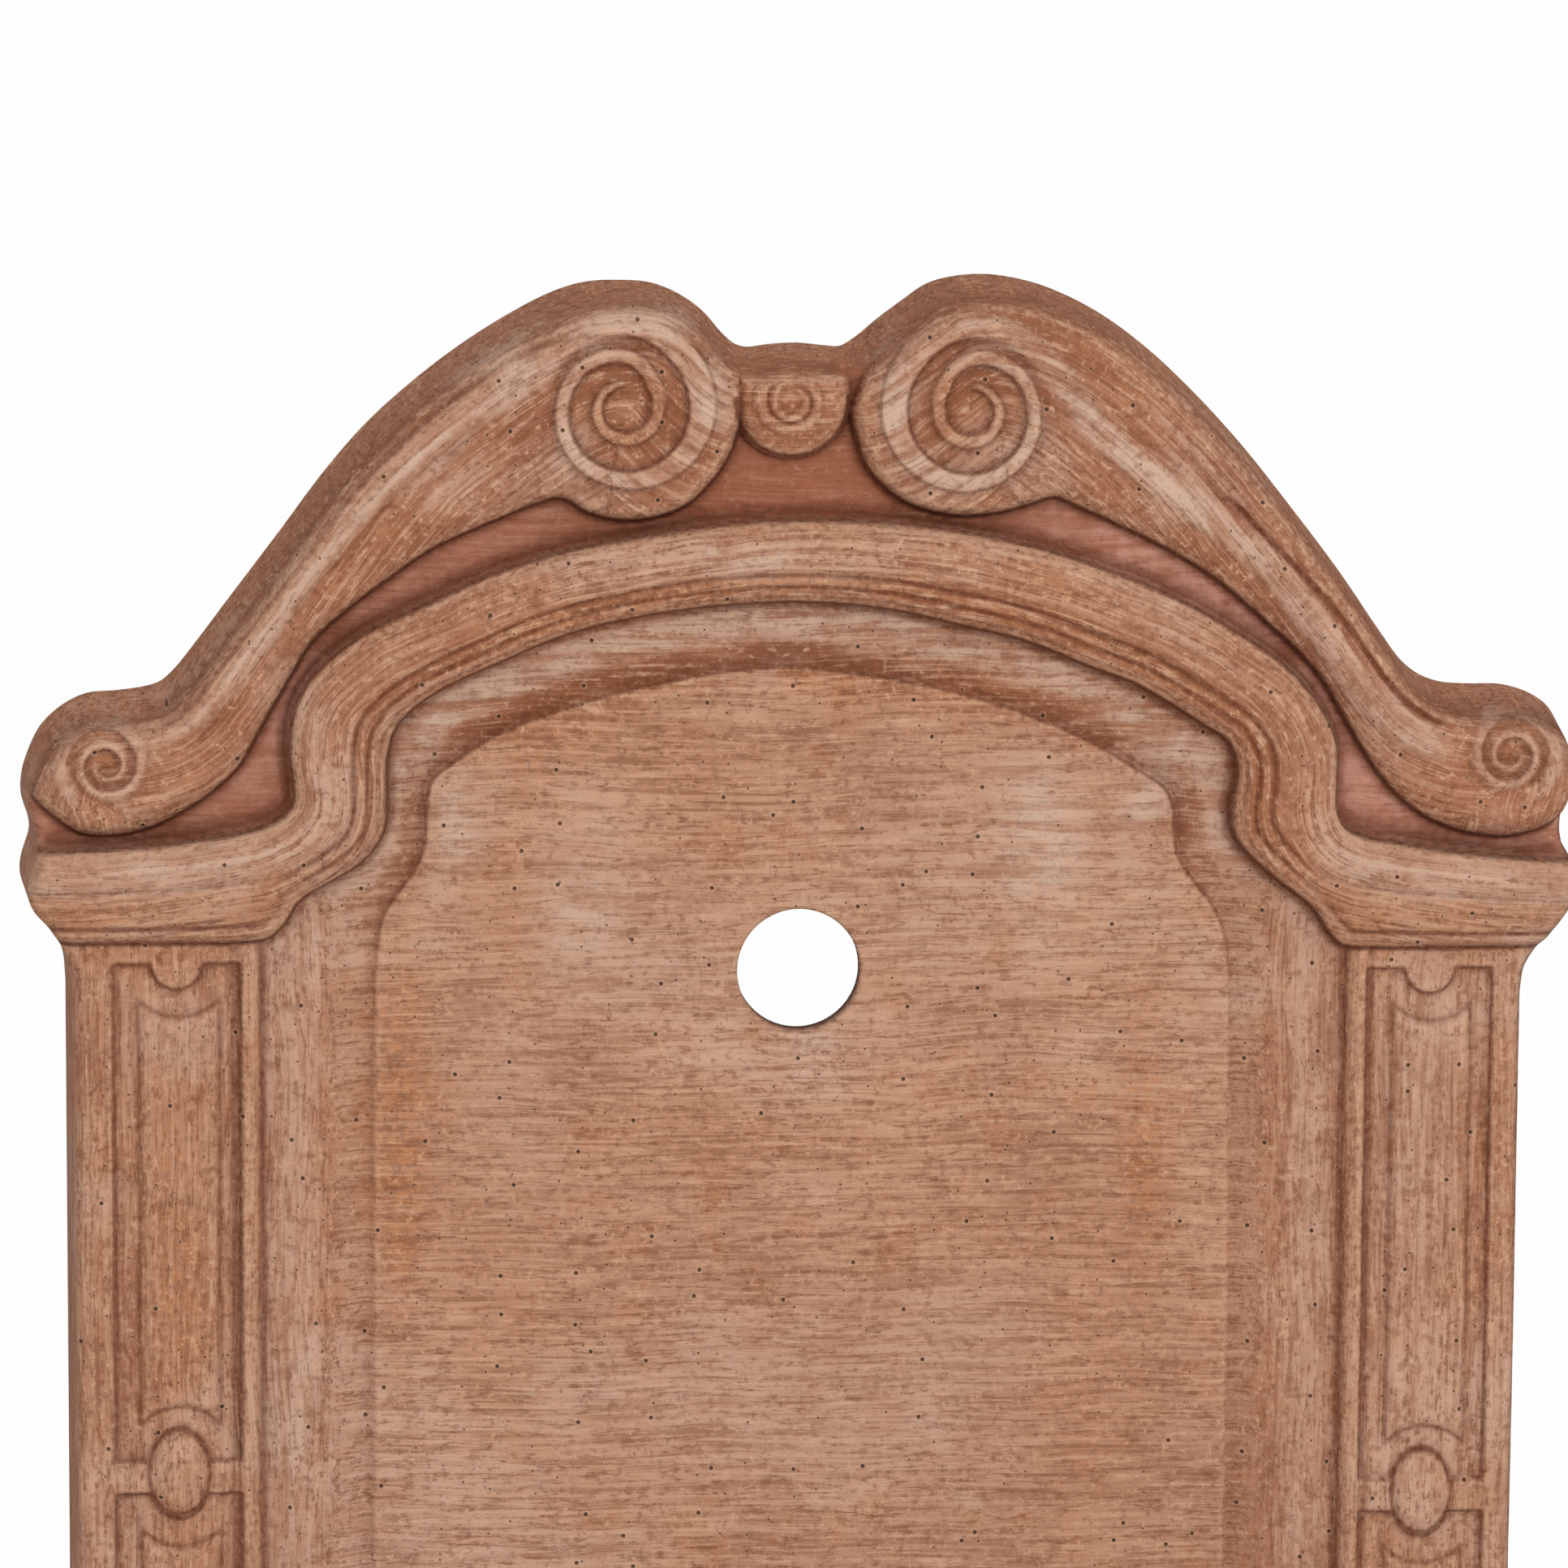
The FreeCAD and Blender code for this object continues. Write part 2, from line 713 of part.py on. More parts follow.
# Basin
def basin_outside():
    """Outer half section of the basin, from the middle of its foot round to the rim."""
    radius = size("basin_radius")
    height = size("basin_height")
    foot = size("basin_foot_radius")
    track = Track(0, 0, 0).line_to(foot, 0).line_to(foot, 12).line_to(foot - 5, 17)
    track.line_to(foot - 5, 24).bowed_to(radius - 14, height - 52, 19.5, 6)
    for x, y in ((radius - 17, height - 46), (radius - 17, height - 41), (radius - 10, height - 36),
                 (radius - 7, height - 27), (radius - 1.5, height - 23), (radius, height - 17),
                 (radius, height - 6), (radius - 2, height - 2), (radius - 6, height)):
        track.line_to(x, y)
    return track.line_to(0, height).line_to(0, 0).edges


def basin_inside(top):
    """Inner half section of the bowl, up to a height above the basin's foot."""
    floor = size("basin_floor")
    mouth = size("basin_radius") - size("rim_width")
    lean = 6.0
    side_z = size("basin_height") - 52
    track = Track(0, floor, 0).line_to(size("basin_foot_radius") - 30, floor)
    track.bowed_to(mouth - lean, side_z, 24, 5)
    rise = (top - side_z) / (size("basin_height") - side_z)
    return track.line_to(mouth - lean + lean * rise, top).line_to(0, top).line_to(0, floor).edges


def bow_fronted(name, edges, back_length):
    """Half of a bow-fronted solid: a quarter turn at the front and a straight run to the wall."""
    drawing = sketch(name + "_section", FRONT, edges)
    return [revolve(name + "_bow", drawing, -90),
            extrude(name + "_back", drawing, back_length, reverse=True)]


def build_basin():
    """The basin: a half-round bowl, and a hollow ledge at its back that carries the panel."""
    height = size("basin_height")
    outside = fuse("basin_block", bow_fronted("basin_out", basin_outside(), "ledge_depth"))
    bowl = revolve("bowl", sketch("bowl_section", FRONT, basin_inside(height + 1)), -90)
    ledge_hollow = extrude("ledge_hollow", sketch("ledge_hollow_section", FRONT,
                                                  basin_inside(height - size("basin_wall")),
                                                  Vector(0, size("basin_wall"), 0)),
                           "ledge_depth", reverse=True)
    waste_hole = cylinder("waste_hole", "waste_radius + 2", "basin_height",
                          Placement(Vector(0, -size("waste_setback"), -5), PLAN))
    socket = cylinder("ledge_dowel_socket", "dowel_radius + dowel_clearance", "basin_wall",
                      Placement(Vector(PILASTER_X, size("ledge_depth") - dowel_setback(),
                                       height - size("dowel_length") / 2 + size("pad_thickness")), PLAN))
    half = cut("basin_half", outside, [bowl, ledge_hollow, socket])
    whole = both_halves("basin_whole", half)
    basin = cut("basin", whole, [waste_hole])
    publish(basin, "basin", Vector(0, BOWL_Y, BASIN_Z))


# Pedestal
def pedestal_profile(outer):
    """Half section of the pedestal's wall: plinth, shaft and cap outside, smooth inside."""
    foot = size("pedestal_foot_radius")
    shaft = size("pedestal_shaft_radius")
    cap = size("pedestal_cap_radius")
    top = size("pedestal_height")
    wall = size("basin_wall")
    if outer:
        points = [(0, 0), (foot, 0), (foot, 30), (foot - 3, 33), (foot - 8, 34), (foot - 6, 39),
                  (foot - 8, 43), (foot - 14, 45), (shaft + 10, 49), (shaft + 3, 57), (shaft, 70),
                  (shaft, top - 46), (shaft + 2, top - 40), (shaft + 6, top - 38),
                  (shaft + 6, top - 33), (shaft + 9, top - 28), (cap - 3, top - 20), (cap, top - 16),
                  (cap, top - 3), (cap - 3, top), (0, top)]
    else:
        points = [(0, -1), (foot - wall, -1), (foot - wall, 30), (shaft - wall, 52),
                  (shaft - wall, top - 40), (cap - wall - 4, top - 14), (cap - wall - 4, top + 1),
                  (0, top + 1)]
    return ring(points)


def build_pedestal():
    """A half-round pedestal, hollow from top to bottom and open towards the wall."""
    outside = fuse("pedestal_block", bow_fronted("pedestal_out", pedestal_profile(True), "ledge_depth"))
    inside = fuse("pedestal_core", bow_fronted("pedestal_in", pedestal_profile(False), "ledge_depth + 5"))
    half = cut("pedestal_half", outside, [inside])
    publish(both_halves("pedestal", half), "pedestal", Vector(0, BOWL_Y, 0))


# Setting pads and dowels
def pad(name, x, y, z):
    """One square of rubber, centred on a place."""
    half = size("pad_side") / 2
    return extrude(name, sketch(name + "_outline", PLAN, block(x - half, y - half, x + half, y + half),
                                Vector(0, 0, z)), "pad_thickness")


def build_pads():
    """Rubber pads that keep clay off clay: six under the basin and four under the panel."""
    reach = size("basin_foot_radius") - 0.75 * size("pad_side")
    front_x = reach * math.cos(math.radians(50))
    front_y = BOWL_Y - reach * math.sin(math.radians(50))
    back_y = WALL_Y - size("pad_side")
    seats = [(side * x, y) for x, y in ((reach, BOWL_Y), (front_x, front_y), (reach, back_y))
             for side in (-1, 1)]
    pads = [pad(f"basin_pad_{number}", x, y, size("pedestal_height"))
            for number, (x, y) in enumerate(seats)]
    publish(compound("basin_pads", pads), "basin_setting_pads", Vector())
    outer_x = PILASTER_X - 21
    pads = [pad(f"panel_pad_{number}", x, back_y, LEDGE_Z)
            for number, x in enumerate((-outer_x, -outer_x / 3, outer_x / 3, outer_x))]
    publish(compound("panel_pads", pads), "panel_setting_pads", Vector())


def build_dowels():
    """Two stainless dowels that locate the panel's foot on the basin's ledge."""
    dowels = [cylinder(f"dowel_{number}", "dowel_radius", "dowel_length",
                       Placement(Vector(side * PILASTER_X, WALL_Y - dowel_setback(),
                                        PANEL_Z - size("dowel_length") / 2), PLAN))
              for number, side in enumerate((-1, 1))]
    publish(compound("dowels", dowels), "locating_dowels", Vector())


# Hanger plates behind the crest
def countersink(name, place):
    """The cone of a screw's head, used for the screw and for its seat in the plate."""
    cone = DOC.addObject("Part::Cone", name)
    bind(cone, "Radius1", "screw_head_radius")
    bind(cone, "Radius2", "screw_radius")
    bind(cone, "Height", "plate_thickness")
    cone.Placement = place
    return cone


def build_hanger(word, centre_x):
    """One keyhole plate let into the back of the fixing rib, and its two screws."""
    middle = hanger_height()
    half_length = size("plate_length") / 2
    half_width = size("plate_width") / 2
    entry_z = middle - 3
    slot_z = middle + 7
    narrow = size("keyslot_radius")
    through = "plate_thickness + 2"
    blank = extrude(f"hanger_blank_{word}", sketch(f"hanger_outline_{word}", FRONT, block(
        centre_x - half_length, middle - half_width, centre_x + half_length, middle + half_width)),
        "plate_thickness")
    slot_outline = sketch(f"keyslot_outline_{word}", FRONT,
                          block(centre_x - narrow, entry_z, centre_x + narrow, slot_z), Vector(0, 1, 0))
    cuts = [
        cylinder(f"keyhole_{word}", "keyhole_radius", through,
                 Placement(Vector(centre_x, 1, entry_z), FRONT)),
        cylinder(f"keyslot_end_{word}", "keyslot_radius", through,
                 Placement(Vector(centre_x, 1, slot_z), FRONT)),
        extrude(f"keyslot_{word}", slot_outline, through),
    ]
    screws = []
    for name, offset in screw_offsets():
        place = Placement(Vector(centre_x + offset, 0, middle), FRONT)
        cuts.append(countersink(f"sink_{word}_{name}", place))
        shank = cylinder(f"screw_shank_{word}_{name}", "screw_radius", "screw_length", place)
        screws.append(fuse(f"screw_{word}_{name}", [countersink(f"head_{word}_{name}", place), shank]))
    home = Vector(0, WALL_Y, PANEL_Z)
    publish(cut(f"hanger_{word}", blank, cuts), f"keyhole_plate_{word}", home)
    publish(compound(f"hanger_screws_{word}", screws), f"plate_screws_{word}", home)


def build_hangers():
    build_hanger("left", -size("plate_spacing") / 2)
    build_hanger("right", size("plate_spacing") / 2)


# Waste and lift-out overflow
def tube(name, outer, inner, low, high):
    """A plain ring or pipe about the waste's axis."""
    height = f"{high} - ( {low} )"
    body = cylinder(name + "_body", outer, height, Placement())
    bind(body, "Placement.Base.z", low)
    bore = cylinder(name + "_bore", inner, height + " + 2", Placement())
    bind(bore, "Placement.Base.z", f"{low} - 1")
    return cut(name, body, [bore])


def build_waste():
    """Brass waste through the basin's floor, with its gaskets, locknut and lift-out overflow."""
    centre = Vector(0, BOWL_Y - size("waste_setback"), BASIN_Z)
    seat = "basin_floor + gasket_thickness"
    rim_top = f"{seat} + waste_flange_thickness"
    thread_low = f"{seat} - waste_thread_length"
    flange = tube("waste_rim", "waste_flange_radius", "waste_bore_radius", seat, rim_top)
    thread = tube("waste_thread", "waste_radius", "waste_bore_radius", thread_low, rim_top)
    spigot = tube("waste_spigot", "waste_spigot_radius", "waste_bore_radius",
                  f"{thread_low} - waste_spigot_length", rim_top)
    publish(fuse("waste_body", [flange, thread, spigot]), "waste_flange", centre)
    gasket_radius = "waste_flange_radius - gasket_inset"
    publish(tube("upper_gasket", gasket_radius, "waste_radius", "basin_floor", seat),
            "waste_gasket_upper", centre)
    publish(tube("lower_gasket", gasket_radius, "waste_radius", "0 - gasket_thickness", "0"),
            "waste_gasket_lower", centre)

    nut_low = -size("gasket_thickness") - size("locknut_thickness")
    corners = [math.radians(60 * side) for side in range(6)]
    hexagon = ring([(size("locknut_radius") * math.cos(angle), size("locknut_radius") * math.sin(angle))
                    for angle in corners])
    blank = extrude("locknut_blank", sketch("locknut_outline", PLAN, hexagon, Vector(0, 0, nut_low)),
                    "locknut_thickness")
    bore = cylinder("locknut_thread", "waste_radius", "locknut_thickness + 2",
                    Placement(Vector(0, 0, nut_low - 1), PLAN))
    publish(cut("locknut", blank, [bore]), "waste_locknut", centre)

    pipe_low = f"{rim_top} - bung_depth"
    pipe_top = "basin_floor + water_depth"
    collar_low = f"{rim_top} + bung_clearance"
    collar_top = f"{collar_low} + bung_collar_thickness"
    bore_radius = "standpipe_radius - standpipe_wall"
    pipe = tube("overflow_pipe", "standpipe_radius", bore_radius, pipe_low, pipe_top)
    lip = tube("overflow_lip", "standpipe_radius + pipe_lip", bore_radius,
               f"{pipe_top} - 2 * pipe_lip", pipe_top)
    publish(fuse("standpipe", [pipe, lip]), "overflow_standpipe", centre)
    bung = tube("bung", "waste_bore_radius - bung_clearance", "standpipe_radius", pipe_low, collar_top)
    collar = tube("bung_collar", "bung_collar_radius", "standpipe_radius", collar_low, collar_top)
    publish(fuse("bung_whole", [bung, collar]), "standpipe_bung", centre)


build_pedestal()
build_basin()
build_back_panel()
build_pads()
build_dowels()
build_hangers()
build_waste()
DOC.recompute()

for item in DOC.Objects:
    if "Invalid" in item.State or "Error" in item.State:
        raise RuntimeError(f"{item.Name} failed: {item.State}")
os.makedirs("parts", exist_ok=True)
for item in PARTS:
    shape = item.Shape
    if shape.isNull() or not shape.isValid():
        raise RuntimeError(f"{item.Label} has no sound shape")
    shape.exportStep(f"parts/{item.Label}.step")
    print(item.Label, len(shape.Solids), "solids", round(shape.Volume / 1000, 1), "cm3")
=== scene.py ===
# %% [markdown]
# # A terracotta wall fountain, dressed for its portrait
#
# The packed CAD model gives the pieces, their places and their bodies. This script lays a finely
# carved skin of fired clay over the back panel, the basin and the pedestal, gives the metal and
# rubber pieces their materials, and sets the camera, a lamp and a white studio.
#
# Lengths in the carving are millimetres, and they turn into metres when a mesh is made.

# %%
import json
import math
from functools import reduce
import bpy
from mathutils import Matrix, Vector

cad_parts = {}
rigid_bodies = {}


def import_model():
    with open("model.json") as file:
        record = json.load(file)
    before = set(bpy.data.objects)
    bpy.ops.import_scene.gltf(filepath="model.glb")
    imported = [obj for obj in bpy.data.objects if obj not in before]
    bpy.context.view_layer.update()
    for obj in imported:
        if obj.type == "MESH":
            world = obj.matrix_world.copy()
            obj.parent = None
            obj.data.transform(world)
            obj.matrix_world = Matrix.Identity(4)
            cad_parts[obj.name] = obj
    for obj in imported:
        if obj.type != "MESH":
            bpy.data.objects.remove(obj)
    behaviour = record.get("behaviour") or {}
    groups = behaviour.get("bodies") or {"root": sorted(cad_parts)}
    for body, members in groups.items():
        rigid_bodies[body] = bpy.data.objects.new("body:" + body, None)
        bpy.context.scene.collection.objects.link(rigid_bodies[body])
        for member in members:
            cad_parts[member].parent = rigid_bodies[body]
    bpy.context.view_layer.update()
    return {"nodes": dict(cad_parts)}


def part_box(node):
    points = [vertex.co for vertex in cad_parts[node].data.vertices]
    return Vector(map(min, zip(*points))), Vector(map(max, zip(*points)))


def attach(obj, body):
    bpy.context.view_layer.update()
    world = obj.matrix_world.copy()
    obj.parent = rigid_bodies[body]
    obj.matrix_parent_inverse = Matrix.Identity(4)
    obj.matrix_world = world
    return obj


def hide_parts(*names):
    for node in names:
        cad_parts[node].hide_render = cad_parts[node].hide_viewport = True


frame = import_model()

from types import SimpleNamespace

import bpy
import numpy as np
from mathutils import Matrix, Vector, geometry

print("CAD nodes:", len(frame["nodes"]))

# %% [markdown]
# ## Places that the carving shares with the CAD model
#
# The panel stands on the basin's ledge. Its own coordinates are x to the right, z above its foot
# and depth from the wall.

# %%
PANEL_FOOT = round(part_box("back_panel")[0].z * 1000, 2)
WALL = round(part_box("back_panel")[1].y * 1000, 2)
TAP_Z = 390.0
TAP_RADIUS = 20.0
# Depths of the flat parts, from the wall
TYMPANUM, FIELD, BORDER, PILASTER = 45.0, 42.5, 47.5, 54.0
PLINTH_TOP = 46.0
PILASTER_EDGE = 174.6
print("panel foot at", PANEL_FOOT, "wall at", WALL)

# %% [markdown]
# ## A drawing board of fine squares
#
# Each half of the panel is drawn on a board of half-millimetre squares. Curves are drawn by
# measuring how far each square lies from them, so every moulding can follow its curve exactly.

# %%
STEP = 0.5
BOARD_SIDE = 262.0
BOARD_X = np.arange(-12.0, BOARD_SIDE, STEP)
BOARD_Z = np.arange(-8.0, 632.0, STEP)
X, Z = np.meshgrid(BOARD_X, BOARD_Z)


def smooth_curve(points, spacing=2.0):
    """A rounded line through the points."""
    points = np.array(points, float)
    padded = np.vstack([2 * points[0] - points[1], points, 2 * points[-1] - points[-2]])
    out = []
    for four in zip(padded, padded[1:], padded[2:], padded[3:]):
        knots = np.cumsum([0] + [max(np.linalg.norm(q - p), 1e-6) ** 0.5
                                 for p, q in zip(four, four[1:])])
        count = max(2, int(np.linalg.norm(four[2] - four[1]) / spacing))
        for t in np.linspace(knots[1], knots[2], count, endpoint=False):
            row = four
            for spans in (((0, 1), (1, 2), (2, 3)), ((0, 2), (1, 3)), ((1, 2),)):
                ends = [(knots[i], knots[j]) for i, j in spans]
                row = [(k1 - t) / (k1 - k0) * p + (t - k0) / (k1 - k0) * q
                       for (k0, k1), p, q in zip(ends, row, row[1:])]
            out.append(row[0])
    out.append(points[-1])
    return [tuple(p) for p in out]


def distance_to(points, reach=60):
    """How far each square lies from a line, up to a reach, and how far along the line that is."""
    near = np.full(X.shape, float(reach))
    along = np.zeros(X.shape)
    travelled = 0.0
    for (ax, az), (bx, bz) in zip(points, points[1:]):
        length = math.hypot(bx - ax, bz - az)
        if length < 1e-9:
            continue
        i0, i1 = np.searchsorted(BOARD_X, [min(ax, bx) - reach, max(ax, bx) + reach])
        j0, j1 = np.searchsorted(BOARD_Z, [min(az, bz) - reach, max(az, bz) + reach])
        if i0 < i1 and j0 < j1:
            x, z = X[j0:j1, i0:i1], Z[j0:j1, i0:i1]
            t = np.clip(((x - ax) * (bx - ax) + (z - az) * (bz - az)) / length ** 2, 0, 1)
            gap = np.hypot(x - ax - t * (bx - ax), z - az - t * (bz - az))
            closer = gap < near[j0:j1, i0:i1]
            near[j0:j1, i0:i1][closer] = gap[closer]
            along[j0:j1, i0:i1][closer] = (travelled + t * length)[closer]
        travelled += length
    return near, along


def inside_of(points):
    """Which squares lie inside a closed outline."""
    flips = np.zeros(X.shape, bool)
    for (ax, az), (bx, bz) in zip(points, points[1:] + points[:1]):
        i0, i1 = np.searchsorted(BOARD_X, sorted((ax, bx)))
        if i0 < i1:
            crossing = az + (BOARD_X[i0:i1] - ax) / (bx - ax) * (bz - az)
            flips[:, i0:i1] ^= Z[:, i0:i1] >= crossing
    return flips


def blur(field, sigma):
    """Soften a drawing by a Gaussian of this width in millimetres."""
    reach = int(math.ceil(3 * sigma / STEP))
    weights = np.exp(-0.5 * (np.arange(-reach, reach + 1) * STEP / sigma) ** 2)
    weights /= weights.sum()
    for axis in (0, 1):
        padded = np.pad(field, [(reach, reach) if axis == a else (0, 0) for a in (0, 1)], "edge")
        total = np.zeros(field.shape)
        for k, weight in enumerate(weights):
            part = padded[k:k + field.shape[0]] if axis == 0 else padded[:, k:k + field.shape[1]]
            total += weight * part
        field = total
    return field


def step_up(value, low, high):
    """Rises smoothly from 0 at low to 1 at high."""
    t = np.clip((value - low) / (high - low), 0, 1)
    return t * t * (3 - 2 * t)


def step_down(value, low, high):
    """Falls smoothly from 1 at low to 0 at high."""
    return step_up(-value, -high, -low)


def within(value, middle, full, none):
    """1 up to a distance from the middle, falling smoothly to 0 at a larger one."""
    return step_down(np.abs(value - middle), full, none)


def crease(near, width):
    """1 on a line, falling off to both sides."""
    return np.exp(-(near / width) ** 2)


def most(*layers):
    """The greatest of some drawings, place by place."""
    return reduce(np.maximum, layers)


def soft_min(a, b, width):
    """The lower of two heights, with a rounded valley where they meet."""
    blend = np.clip(0.5 + 0.5 * (b - a) / width, 0, 1)
    return b * (1 - blend) + a * blend - width * blend * (1 - blend)


print("board:", X.shape[1], "by", X.shape[0], "squares")

# %% [markdown]
# ## The carved lines
#
# A hand-pressed panel is never quite even, so each half has lines of its own: the silhouette, the
# cornice's two edges, the lower edge of the scroll, its ridge, and the edge of the raised field.
# Both halves are drawn as right ones, and the left one is turned over when they are joined.

# %%
LEFT = SimpleNamespace(
    silhouette=[
        (2, 586.4), (8, 586), (15.4, 585.1), (20.6, 586.4), (25.8, 590.6), (32.3, 598),
        (39.4, 603), (47.5, 606.2), (57.3, 606.9), (67.1, 606.4), (76.8, 603.5), (89.5, 597.1),
        (105, 587.4), (120.6, 575.6), (136.1, 561.6), (149, 546.8), (164.8, 525.6), (180.7, 504.6),
        (191.3, 490.5), (199, 481), (204, 476.8), (210, 474.8), (220, 473.4), (229, 472.6),
        (236, 469), (241.5, 463.8), (245.2, 456.5), (247.3, 449.5), (247.4, 443.5), (245.6, 438),
        (244.8, 433), (245.6, 428.8), (247.4, 423.5), (248, 418), (246, 413), (241.5, 407.5),
        (237.2, 400), (234.3, 392), (233.4, 382)],
    cornice_top=[
        (0, 538.6), (13.7, 538.2), (34.4, 536), (55.2, 532.7), (75.9, 528.8), (96.5, 522.7),
        (117.2, 513.6), (137.9, 503.8), (148.2, 497.1), (158.6, 486.7), (163, 478), (164.6, 465),
        (163.6, 454.6), (163.3, 449), (166, 444.6), (174.2, 440.2), (184.6, 437.7), (205.2, 434.9),
        (225.9, 433.2), (BOARD_SIDE, 433)],
    cornice_foot=[
        (0, 511.5), (13.2, 511.3), (34, 509.6), (54.8, 506.5), (75.6, 501.3), (96.3, 492.8),
        (117.1, 483), (126.1, 476.4), (131, 470), (133.2, 460), (133.4, 448.4), (134.2, 437.9),
        (140.5, 428.7), (150.9, 422), (160.8, 416.2), (166, 408.4), (171, 403.6), (178, 402.6),
        (BOARD_SIDE, 402.6)],
    scroll_foot=[
        (21, 566), (22, 562.2), (27.4, 552.2), (38.8, 541.3), (55.7, 537.2), (68.7, 539.6),
        (77.8, 544.5), (85.6, 542.7), (101.2, 536.3), (116.8, 529.3), (132.3, 519.1),
        (147.9, 507.1), (157, 498.5), (163.5, 488.1), (172.6, 472.4), (180.5, 458.5),
        (189.6, 449.9), (200, 443.1), (210.4, 438.2), (220.8, 436.1), (231.1, 437), (240.9, 443.4),
        (247.4, 449.5)],
    field_edge=[
        (0, 488.6), (12.1, 488.3), (33, 485.8), (53.9, 481.7), (74.9, 475.7), (95.7, 467.9),
        (111.4, 458.2), (118.2, 452.4), (119.9, 444), (120.3, 434.5), (121.6, 427.9),
        (125.8, 420.6), (130.5, 414.4), (134, 408), (136, 398), (136.6, 388)],
    ridge=[
        (57.8, 598), (72, 594.5), (88, 586.5), (105, 575), (124, 560.5), (142, 543), (158, 524),
        (170, 507.5), (181, 493), (191, 480), (201, 472), (212, 468)],
    groove=([60, 90, 120, 160, 190, 210], [10, 4.2, 4.0, 3.6, 3.4, 3.4], 0.5),
    volute=(57.8, 573.9), small_volute=(222.9, 460.3), field_side=137.0,
    pilaster_shift=-0.8, panel_x=200.9, island_shift=-0.6,
    frames=[(232.5, 395.5), (57.0, 221.5)], oval_z=228.8)
RIGHT = SimpleNamespace(
    silhouette=[
        (2, 586.4), (10, 585.6), (16, 585.4), (21.8, 588.6), (29.8, 595.2), (37.6, 601),
        (44.9, 606), (51.8, 608), (61.7, 608.8), (71.7, 607.5), (81.6, 604.7), (97.1, 597.2),
        (112.7, 586), (128.7, 571.2), (144.8, 553.8), (161.1, 533.6), (177.5, 512.2),
        (191.3, 492.3), (199, 482.2), (206, 477), (214, 474.3), (224, 473.6), (234, 473.4),
        (242, 471), (247.8, 467), (250.6, 460.5), (251.6, 453), (250.6, 446), (248.8, 441),
        (248.3, 434.5), (249.4, 429), (251.2, 423), (251.5, 416.5), (248.8, 410.6), (244.7, 403.6),
        (239.6, 397), (236, 391), (234.8, 383)],
    cornice_top=[
        (0, 538.6), (12.3, 538.2), (33.1, 536.8), (54, 533.9), (74.9, 529.4), (95.9, 522.5),
        (116.9, 514.1), (138.1, 502.7), (156.7, 489.5), (168, 475.7), (172.4, 465), (172.6, 452.7),
        (172.9, 443.5), (175.4, 438.4), (181.3, 435.4), (191.9, 433.3), (213.2, 429.9),
        (234.4, 427.7), (BOARD_SIDE, 426.8)],
    cornice_foot=[
        (0, 511.5), (7.7, 511.2), (28.6, 508.8), (49.5, 504), (70.5, 498.9), (91.6, 490.4),
        (107.5, 484.3), (128.7, 471.5), (137.5, 465.4), (140.2, 456.7), (138.4, 445),
        (139.8, 434.9), (146.5, 426.9), (155.9, 418.9), (165.3, 411.4), (171.5, 402.5),
        (175.6, 398.8), (184, 398.2), (BOARD_SIDE, 398.2)],
    scroll_foot=[
        (14.5, 572), (15.8, 566), (20.1, 554.2), (31.6, 543.5), (47.4, 538.7), (63.1, 539.5),
        (76.2, 543.3), (80.6, 544.4), (86.7, 542), (102.5, 534.9), (118.4, 526.9), (134.4, 516.9),
        (150.4, 503.1), (161.1, 493.3), (169.2, 483.4), (177.4, 469.3), (188.3, 452.8),
        (199.1, 442.4), (209.9, 436.7), (220.6, 434), (232, 433.6), (243.2, 437.2),
        (248.8, 441.6)],
    field_edge=[
        (0, 488.6), (8.9, 487.6), (30, 484.4), (51.1, 479.9), (72.2, 473.1), (93.5, 464),
        (109.4, 454.4), (117.6, 449), (120.6, 443), (121.4, 433), (122.8, 426), (129, 416.9),
        (134.6, 409.4), (137.8, 402), (139.4, 393), (140, 385)],
    ridge=[
        (52.9, 599), (66, 596), (78, 587), (92, 571), (107, 556), (121, 546.5), (134, 535.5),
        (150, 523.5), (161, 509), (171, 496.5), (182, 481), (193, 471), (206, 463)],
    groove=([128, 138, 145, 161, 178, 187, 198, 212],
            [15, 12.0, 11.0, 8.4, 6.5, 6.3, 5.0, 4.5], 1.0),
    volute=(52.9, 572.9), small_volute=(229.1, 461.5), field_side=140.6,
    pilaster_shift=2.6, panel_x=204.6, island_shift=1.0,
    frames=[(221.4, 391.2), (57.0, 210.4)], oval_z=217.4)
MIDDLE_VOLUTE = (-4.2, 576.6)
# The plinth block's side, from the pilaster down to the foot
PLINTH_SIDE = [(236.0, 43.5), (236.8, 39), (235.6, 35), (237.5, 31.5), (241.0, 28.5), (241.3, 26),
               (241.3, 0.0)]


def across_centre(own, other, reach=40):
    """A line that runs on over the centre, where the other half's line takes over."""
    return [(-x, z) for x, z in reversed(other) if 1 < x < reach] + own


for half, other in ((LEFT, RIGHT), (RIGHT, LEFT)):
    half.crest = smooth_curve(across_centre(half.silhouette, other.silhouette, 20))
    half.ends = half.crest + [(half.crest[-1][0], PLINTH_TOP)] + PLINTH_SIDE
    half.top_line = smooth_curve(across_centre(half.cornice_top, other.cornice_top))
    half.foot_line = smooth_curve(across_centre(half.cornice_foot, other.cornice_foot))
    half.low_line = smooth_curve(half.scroll_foot)
    half.ridge_line = smooth_curve(half.ridge)
    half.field_line = smooth_curve(across_centre(half.field_edge, other.field_edge)) \
        + [(half.field_side, 300.0), (half.field_side, -10.0)]
print("silhouette points:", len(LEFT.ends), len(RIGHT.ends))

# %% [markdown]
# ## Mouldings
#
# A moulding is a table of heights across its width. The cornice's table is stretched between its
# two edges, so the moulding swells and narrows as a hand-run one does.

